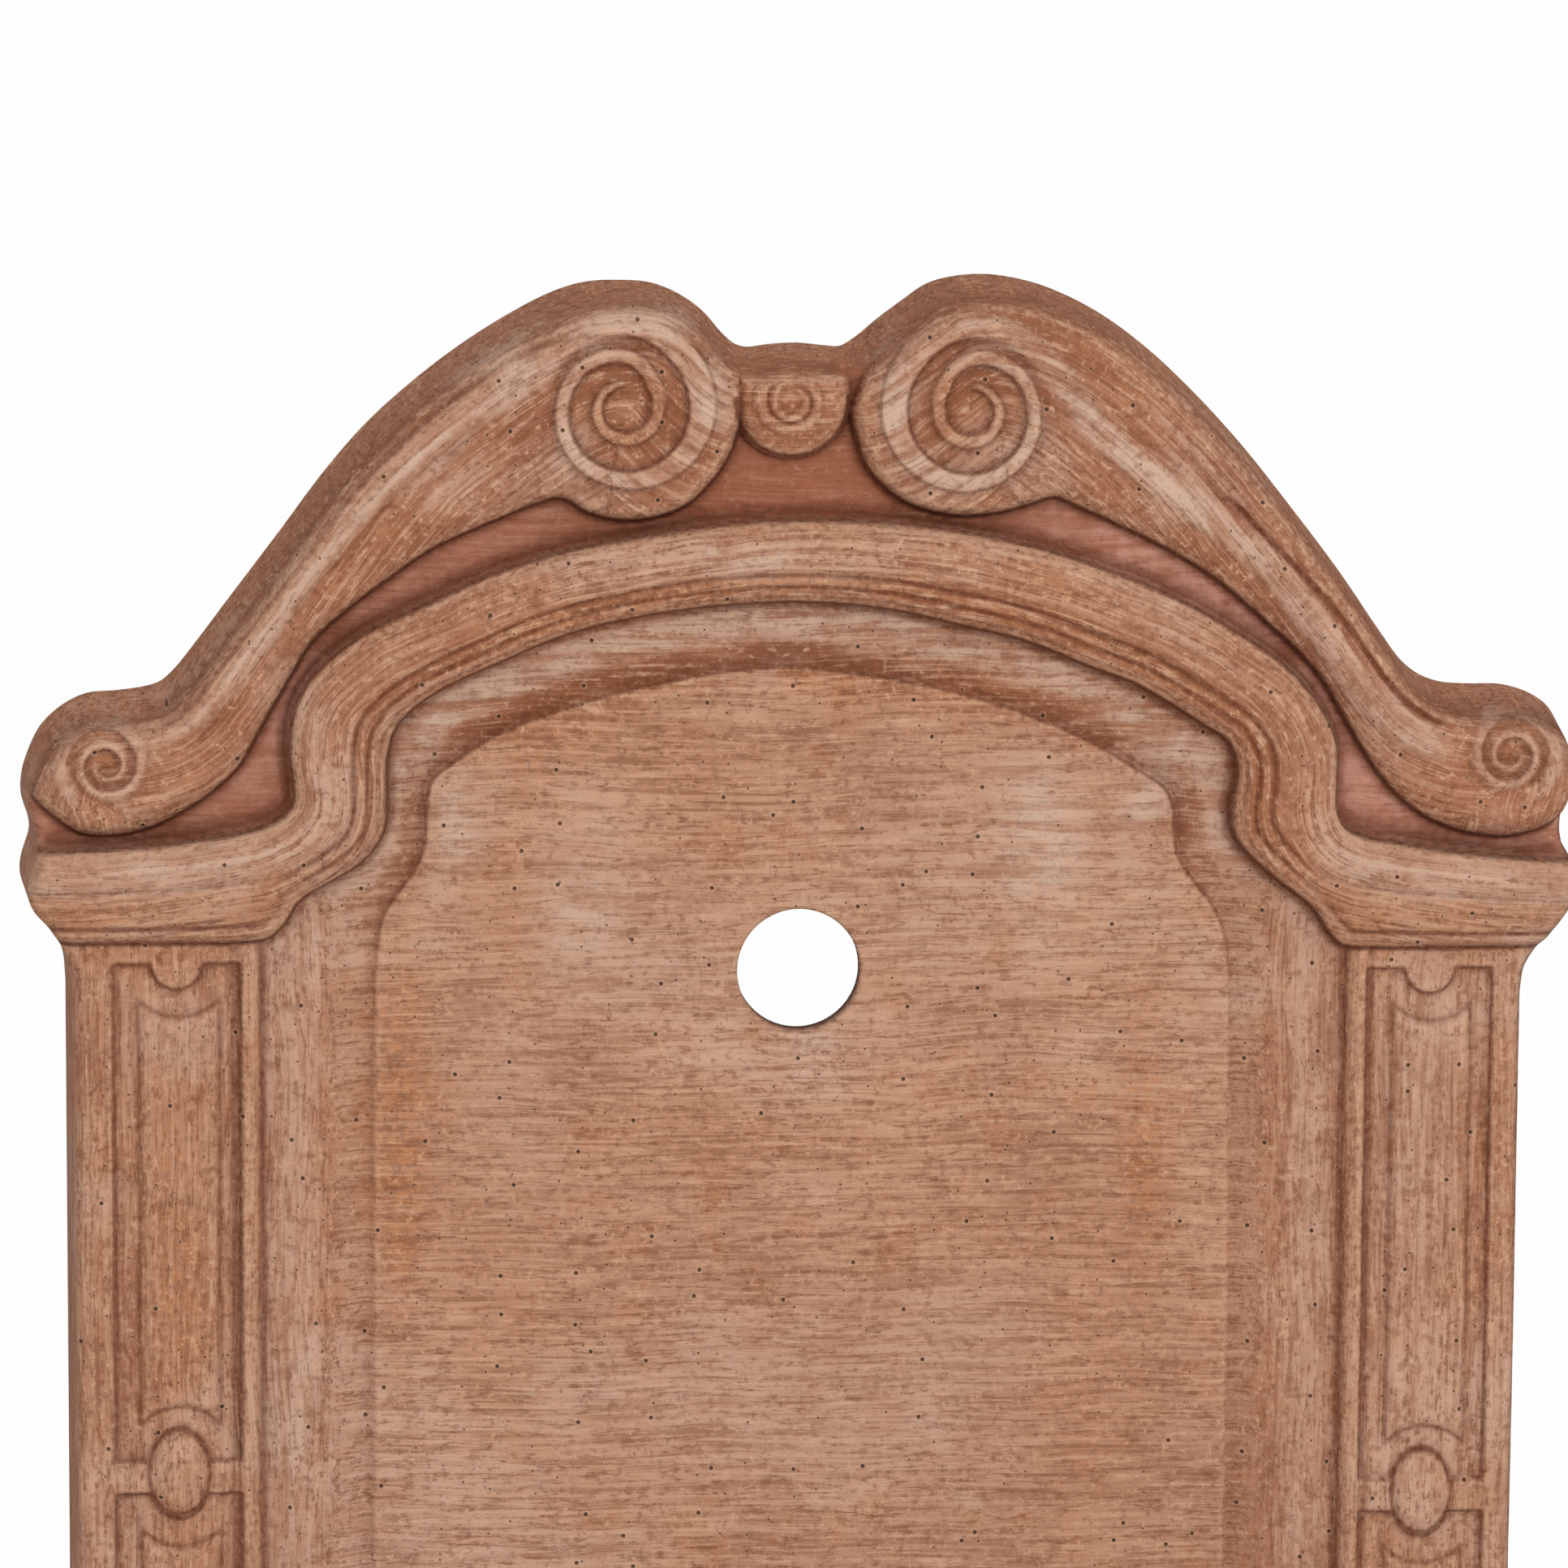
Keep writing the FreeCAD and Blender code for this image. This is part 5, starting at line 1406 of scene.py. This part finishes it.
def half_round(radius, corner, curved=110, across=24):
    """A closed half-round opening with rounded back corners, as (x, depth)."""
    corner = min(corner, 0.45 * radius)
    swing = math.asin(min(corner / (radius - corner), 0.9))
    reach = (radius - corner) * math.cos(swing)
    points = [(reach - 2 * reach * k / across, BOW) for k in range(across + 1)]
    turn = math.pi / 2 + swing
    bends = [turn * k / 6 for k in range(1, 6)]
    left = [(-reach - corner * math.sin(a), BOW + corner - corner * math.cos(a)) for a in bends]
    angles = [swing + (math.pi - 2 * swing) * k / curved for k in range(curved + 1)]
    front = [(-radius * math.cos(a), BOW + radius * math.sin(a)) for a in angles]
    return points + left + front + [(-x, depth) for x, depth in reversed(left)]


class Shell(Clay):
    """A piece of clay built from strips of vertices, with its own measures for the brush."""

    def __init__(self):
        super().__init__()
        self.measures = []

    def line(self, places, z, v, cavity=0.0, ridge=0.0, turned=1.0):
        """A row of vertices at one height. v runs on along the profile."""
        start, u = len(self.points), 0.0
        for k, (x, depth) in enumerate(places):
            if k:
                u += math.dist(places[k - 1], (x, depth))
            self.points.append((x, depth, z - PANEL_FOOT))
            self.measures.append((u, v, cavity, ridge, turned if depth > 0.01 else 0.0))
        return list(range(start, len(self.points)))

    def finished(self, name, node):
        """The piece in the scene, with its measures, its clay and its place in the fountain."""
        piece = new_piece(name, [in_metres(*p) for p in self.points], self.faces)
        mesh = piece.data
        u, v, cavity, ridge, turned = np.array(self.measures).T
        plain = np.zeros(len(u))
        # The hollow bends get dirt and painted shade, the proud ones the pale wash
        store(mesh, "form", [cavity, ridge, plain, plain + 1])
        store(mesh, "tone", [plain, 0.25 * ridge, plain, plain + 0.7])
        store(mesh, "flow", [u, v, turned, plain])
        store(mesh, "pore", [u, v, plain, plain])
        mesh.materials.append(clay_skin)
        mesh.shade_smooth()
        mesh.set_sharp_from_angle(angle=TURNED_SHARP)
        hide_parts(node)
        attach(piece, "fountain")
        print(name, "triangles:", sum(len(face.vertices) - 2 for face in mesh.polygons))
        return piece


def bends(profile):
    """How hollow and how proud a profile is, from 0 to 1. Its outside lies on the right."""
    smooth = np.stack([ring_blur(profile[:, k], 4) for k in (0, 1)], 1)
    step = np.gradient(profile, axis=0)
    way = np.stack([step[:, 1], -step[:, 0]], 1)
    way /= np.maximum(np.linalg.norm(step, axis=1, keepdims=True), 1e-9)
    sunk = np.sum((smooth - profile) * way, axis=1)
    sunk[:6] = sunk[-6:] = 0
    return np.clip(sunk / 0.8, 0, 1), np.clip(-sunk / 0.8, 0, 1)


def bulge(start, end, amount, count=8):
    """Points of a soft outward curve between two points, the last one left out."""
    (ax, az), (bx, bz) = start, end
    length = math.hypot(bx - ax, bz - az)
    return [(ax + (bx - ax) * t + (bz - az) / length * amount * 4 * t * (1 - t),
             az + (bz - az) * t - (bx - ax) / length * amount * 4 * t * (1 - t))
            for t in (k / count for k in range(count))]


print("bow of radius 200:", len(bow(200)), "places")

# %% [markdown]
# ## The basin
#
# Its back is hollow and open to the wall, and the waste passes through the bowl's floor.

# %%
BOWL_FLOOR = 26.0
WASTE_RADIUS, WASTE_DEPTH = 22.0, BOW + 62
BOWL_CORNER = 14.0
HOLLOW_DEPTH = 58.0
# A lid over x and depth looks up, or down when its way is 1
TOP = (0, 1)


def build_basin():
    """The bow-fronted basin with its bowl, its ledge and the hole for the waste."""
    shell = Shell()
    outside = [(150, 0), (152, 1.5), (152, 11), (150, 13.5), (147, 17)] \
        + bulge((147, 24), (236, 138), 19.5, 14) \
        + [(236, 138), (233, 144), (233, 149), (238, 153), (241, 156), (243, 163), (248.5, 167),
           (250, 173), (250, 184), (248, 188), (244, 190)]
    profile = softened_profile(outside, 1.3)
    hollow, proud = bends(profile)
    rows = [shell.line(bow(r), BASIN_FOOT + z, k, hollow[k], proud[k],
                       turned=1.0 * (1 < k < len(profile) - 2))
            for k, (r, z) in enumerate(profile)]
    for lower, upper in zip(rows, rows[1:]):
        shell.strip(lower, upper)
    inside = [(219.4, 190), (217.5, 188.4), (217, 186)] + bulge((214, 138), (122, 26), -24, 14) \
        + [(122, 26)]
    bowl_profile = softened_profile(inside, 1.6, 2.0)
    bowl = [shell.line(half_round(r, BOWL_CORNER), BASIN_FOOT + z, 260 + 2 * k,
                       turned=1.0 * (2 < k < len(bowl_profile) - 3))
            for k, (r, z) in enumerate(bowl_profile)]
    for upper, lower in zip(bowl, bowl[1:]):
        shell.strip(lower, upper, closed=True)
    angles = [2 * math.pi * k / 48 for k in range(48)]
    waste = [(WASTE_RADIUS * math.cos(a), WASTE_DEPTH + WASTE_RADIUS * math.sin(a)) for a in angles]
    waste_top = shell.line(waste, BASIN_FOOT + BOWL_FLOOR, 400, turned=0.0)
    waste_foot = shell.line(waste, BASIN_FOOT, 426, turned=0.0)
    shell.strip(waste_foot, waste_top, closed=True)
    shell.lid(rows[-1], [bowl[0]], TOP)
    shell.lid(bowl[-1], [waste_top], TOP)
    shell.lid(rows[0], [waste_foot], TOP, 1)
    corner = bulge((212, 138), (122, 26), -24, 10)
    outline = [(-120, 26), (120, 26)] + [(r, z) for r, z in reversed(corner) if z < 166] \
        + [(213, 160), (206, 168), (-206, 168), (-213, 160)] + [(-r, z) for r, z in corner]
    mouth, deep = [], []
    for x, z in outline:
        mouth += shell.line([(x, 0.0)], BASIN_FOOT + z, 0, turned=0.0)
    for x, z in outline:
        deep_z = BASIN_FOOT + BOWL_FLOOR + (z - BOWL_FLOOR) * 0.98
        deep += shell.line([(x * 0.985, HOLLOW_DEPTH)], deep_z, 0, turned=0.0)
    shell.strip(deep, mouth, closed=True)
    shell.lid(deep)
    back = [row[0] for row in rows] + [row[-1] for row in reversed(rows)]
    shell.lid(back, [mouth])
    return shell.finished("turned_basin", "basin")


build_basin()

# %% [markdown]
# ## The pedestal

# %%
def build_pedestal():
    """The half-round pedestal, a shell that is open to the wall."""
    shell = Shell()
    outside = [(174.5, 0), (176, 2), (176, 29), (174, 32.5), (168, 34), (170, 37), (170, 40.5),
               (167.5, 43.5), (162, 45), (150, 49), (144, 56), (140.6, 66), (140, 76), (140, 119),
               (142, 125), (146, 127), (146, 132), (149, 137), (157, 145), (160, 149), (160, 162),
               (158, 165)]
    profile = softened_profile(outside, 1.2)
    hollow, proud = bends(profile)
    outer = [shell.line(bow(r), z, k, hollow[k], proud[k]) for k, (r, z) in enumerate(profile)]
    inside = softened_profile([(154, 0), (154, 30), (118, 52), (118, 125), (134, 151), (134, 165)],
                              2.0, 3.0)
    inner = [shell.line(bow(r), z, 300 + 3 * k) for k, (r, z) in enumerate(inside)]
    for lower, upper in zip(outer, outer[1:]):
        shell.strip(lower, upper)
    for lower, upper in zip(inner, inner[1:]):
        shell.strip(upper, lower)
    shell.strip(outer[-1], inner[-1])
    shell.strip(inner[0], outer[0])
    for end in (0, -1):
        shell.lid([row[end] for row in outer] + [row[end] for row in reversed(inner)])
    return shell.finished("turned_pedestal", "pedestal")


build_pedestal()

# %% [markdown]
# ## Brass, rubber, zinc and steel
#
# The CAD pieces of the waste, the lift-out standpipe, the seals and the wall fixings keep their
# shapes and get their own materials.

# %%
def aged_metal(name, clean, dull, roughness, spots, lengthwise=False):
    """A worn metal: a clean and a dull colour, brushed unevenly, with stains in patches."""
    material = bpy.data.materials.new(name)
    n = Nodes(material)
    mm = n.millimetres()
    brush = (1.0, 1.0, 0.06) if lengthwise else (0.06, 0.06, 1.0)
    brushed = n.noise(n.scale(mm, brush), 1.6, 3.0, 0.6)
    stain = n.noise(mm, 0.35, 4.0, 0.65)
    wear = n.noise(mm, 0.09, 4.0, 0.6) * 0.6 + brushed * 0.4
    colour = n.coats(clean, (n.ramp(wear, 0.38, 0.62), dull),
                     (n.ramp(stain, 0.58, 0.70) * 0.6, spots))
    n.show(n.out("ShaderNodeBsdfPrincipled", {
        "Base Color": colour, "Metallic": 0.95,
        "Roughness": roughness + n.ramp(wear, 0.35, 0.65) * 0.18,
        "Normal": n.relief(brushed * 0.6 + stain * 0.4, 0.35, 0.0003)}))
    return material


def rubber(name, dark, dusty):
    """Matt rubber with a little dust."""
    material = bpy.data.materials.new(name)
    n = Nodes(material)
    mm = n.millimetres()
    dust = n.noise(mm, 0.25, 4.0, 0.65)
    n.show(n.out("ShaderNodeBsdfPrincipled", {
        "Base Color": n.blend(n.ramp(dust, 0.45, 0.75), dark, dusty),
        "Roughness": n.ramp(dust, 0.3, 0.7, 0.62, 0.85), "Specular IOR Level": 0.35,
        "Normal": n.relief(n.noise(mm, 1.8, 2.0, 0.6), 0.4, 0.0003)}))
    return material


brass = aged_metal("aged_brass", paint(206, 168, 98), paint(158, 118, 62), 0.28, paint(96, 78, 52))
pipe_brass = aged_metal("drawn_brass", paint(210, 174, 106), paint(170, 130, 72), 0.24,
                        paint(104, 92, 66), lengthwise=True)
zinc = aged_metal("zinc_plate", paint(178, 182, 186), paint(138, 142, 146), 0.36,
                  paint(104, 106, 108))
steel = aged_metal("stainless_steel", paint(196, 196, 198), paint(164, 164, 166), 0.26,
                   paint(130, 128, 124), lengthwise=True)
black_rubber = rubber("black_rubber", paint(34, 34, 35), paint(66, 62, 58))
grey_rubber = rubber("setting_rubber", paint(52, 51, 50), paint(88, 80, 72))
MATERIALS = {
    "waste_flange": (brass, "brass"), "waste_locknut": (brass, "brass"),
    "overflow_standpipe": (pipe_brass, "brass"), "standpipe_bung": (black_rubber, "rubber"),
    "waste_gasket_upper": (black_rubber, "rubber"), "waste_gasket_lower": (black_rubber, "rubber"),
    "basin_setting_pads": (grey_rubber, "rubber"), "panel_setting_pads": (grey_rubber, "rubber"),
    "keyhole_plate_left": (zinc, "zinc"), "keyhole_plate_right": (zinc, "zinc"),
    "plate_screws_left": (steel, "stainless"), "plate_screws_right": (steel, "stainless"),
    "locating_dowels": (steel, "stainless"),
}
for name, (material, slot) in MATERIALS.items():
    piece = bpy.data.objects[name]
    piece.data.materials.clear()
    piece.data.materials.append(material)
print("materials given to", len(MATERIALS), "CAD pieces")

# %% [markdown]
# ## Camera, lamp and the white studio
#
# The camera stands a little to the left and above, as the photographer did, leans by a third of a
# degree, and takes in the upper part of the panel only. The floor fades into the white backdrop
# and keeps the fountain's shadow near its foot.

# %%
scene = bpy.context.scene
AIM = Vector(in_metres(-5.1, 41.0, 450.9))
AZIMUTH, ELEVATION, LEAN = (math.radians(angle) for angle in (-4.5, 8.5, 0.35))
DISTANCE = 2.5
FRAME_WIDTH = 0.5062
SENSOR = 36.0
STUDIO_WHITE = (0.98, 0.985, 0.98, 1)


def placed(name, data, place, turned):
    """A camera or a lamp in the scene."""
    item = bpy.data.objects.new(name, data)
    item.location = place
    item.rotation_mode = "QUATERNION"
    item.rotation_quaternion = turned
    scene.collection.objects.link(item)
    return item


away_from = Vector((math.sin(AZIMUTH) * math.cos(ELEVATION),
                    -math.cos(AZIMUTH) * math.cos(ELEVATION), math.sin(ELEVATION)))
right = Vector((math.cos(AZIMUTH), math.sin(AZIMUTH), 0))
upward = right.cross(-away_from)
leaning_right = right * math.cos(LEAN) + upward * math.sin(LEAN)
leaning_up = upward * math.cos(LEAN) - right * math.sin(LEAN)
camera_data = bpy.data.cameras.new("camera")
camera_data.sensor_width = SENSOR
camera_data.lens = SENSOR * DISTANCE / FRAME_WIDTH
turned = Matrix((leaning_right, leaning_up, away_from)).transposed().to_quaternion()
scene.camera = placed("camera", camera_data, AIM + away_from * DISTANCE, turned)

lamp_data = bpy.data.lights.new("key", "AREA")
lamp_data.shape = "SQUARE"
lamp_data.size = 0.9
lamp_data.energy = 43
lamp_place, lamp_aim = Vector((0.5, -2.8, 1.7)), Vector((0, 0.1, 0.7))
placed("key", lamp_data, lamp_place, (lamp_aim - lamp_place).to_track_quat("-Z", "Y"))

world = bpy.data.worlds.new("white_studio")
scene.world = world
n = Nodes(world)
path = n.make("ShaderNodeLightPath", {}).outputs
seen = n.most(Value(n, path["Is Camera Ray"]), Value(n, path["Is Transmission Ray"]))
soft_light = n.out("ShaderNodeBackground", {"Color": (1.0, 0.99, 0.98, 1), "Strength": 0.58})
white = n.out("ShaderNodeBackground", {"Color": STUDIO_WHITE, "Strength": 1.0})
n.show(n.out("ShaderNodeMixShader", {0: seen, 1: soft_light, 2: white}), "World")
print("camera lens:", round(camera_data.lens, 1), "mm")

# %% [markdown]
# ## The floor
#
# To the camera the floor glows white far from the fountain, so it has no horizon.

# %%
FLOOR_REACH = 6.0
corners = [(x * FLOOR_REACH, y * FLOOR_REACH, 0) for x, y in ((-1, -1), (1, -1), (1, 1), (-1, 1))]
floor = new_piece("floor", corners, [(0, 1, 2, 3)])
floor_paint = bpy.data.materials.new("studio_floor")
n = Nodes(floor_paint)
place = n.out("ShaderNodeTexCoord", {}, "Object")
distance = n.out("ShaderNodeVectorMath", {0: place}, "Value", operation="LENGTH")
fade = n.ramp(distance, 0.4, 1.5, 0.35, 1.0) * n.out("ShaderNodeLightPath", {}, "Is Camera Ray")
matt = n.out("ShaderNodeBsdfDiffuse", {"Color": (0.93, 0.93, 0.92, 1), "Roughness": 0.5})
glow = n.out("ShaderNodeEmission", {"Color": STUDIO_WHITE, "Strength": 1.0})
n.show(n.out("ShaderNodeMixShader", {0: fade, 1: matt, 2: glow}))
floor.data.materials.append(floor_paint)
scene.view_settings.view_transform = "Standard"
print("floor:", 2 * FLOOR_REACH, "m wide")

# %% [markdown]
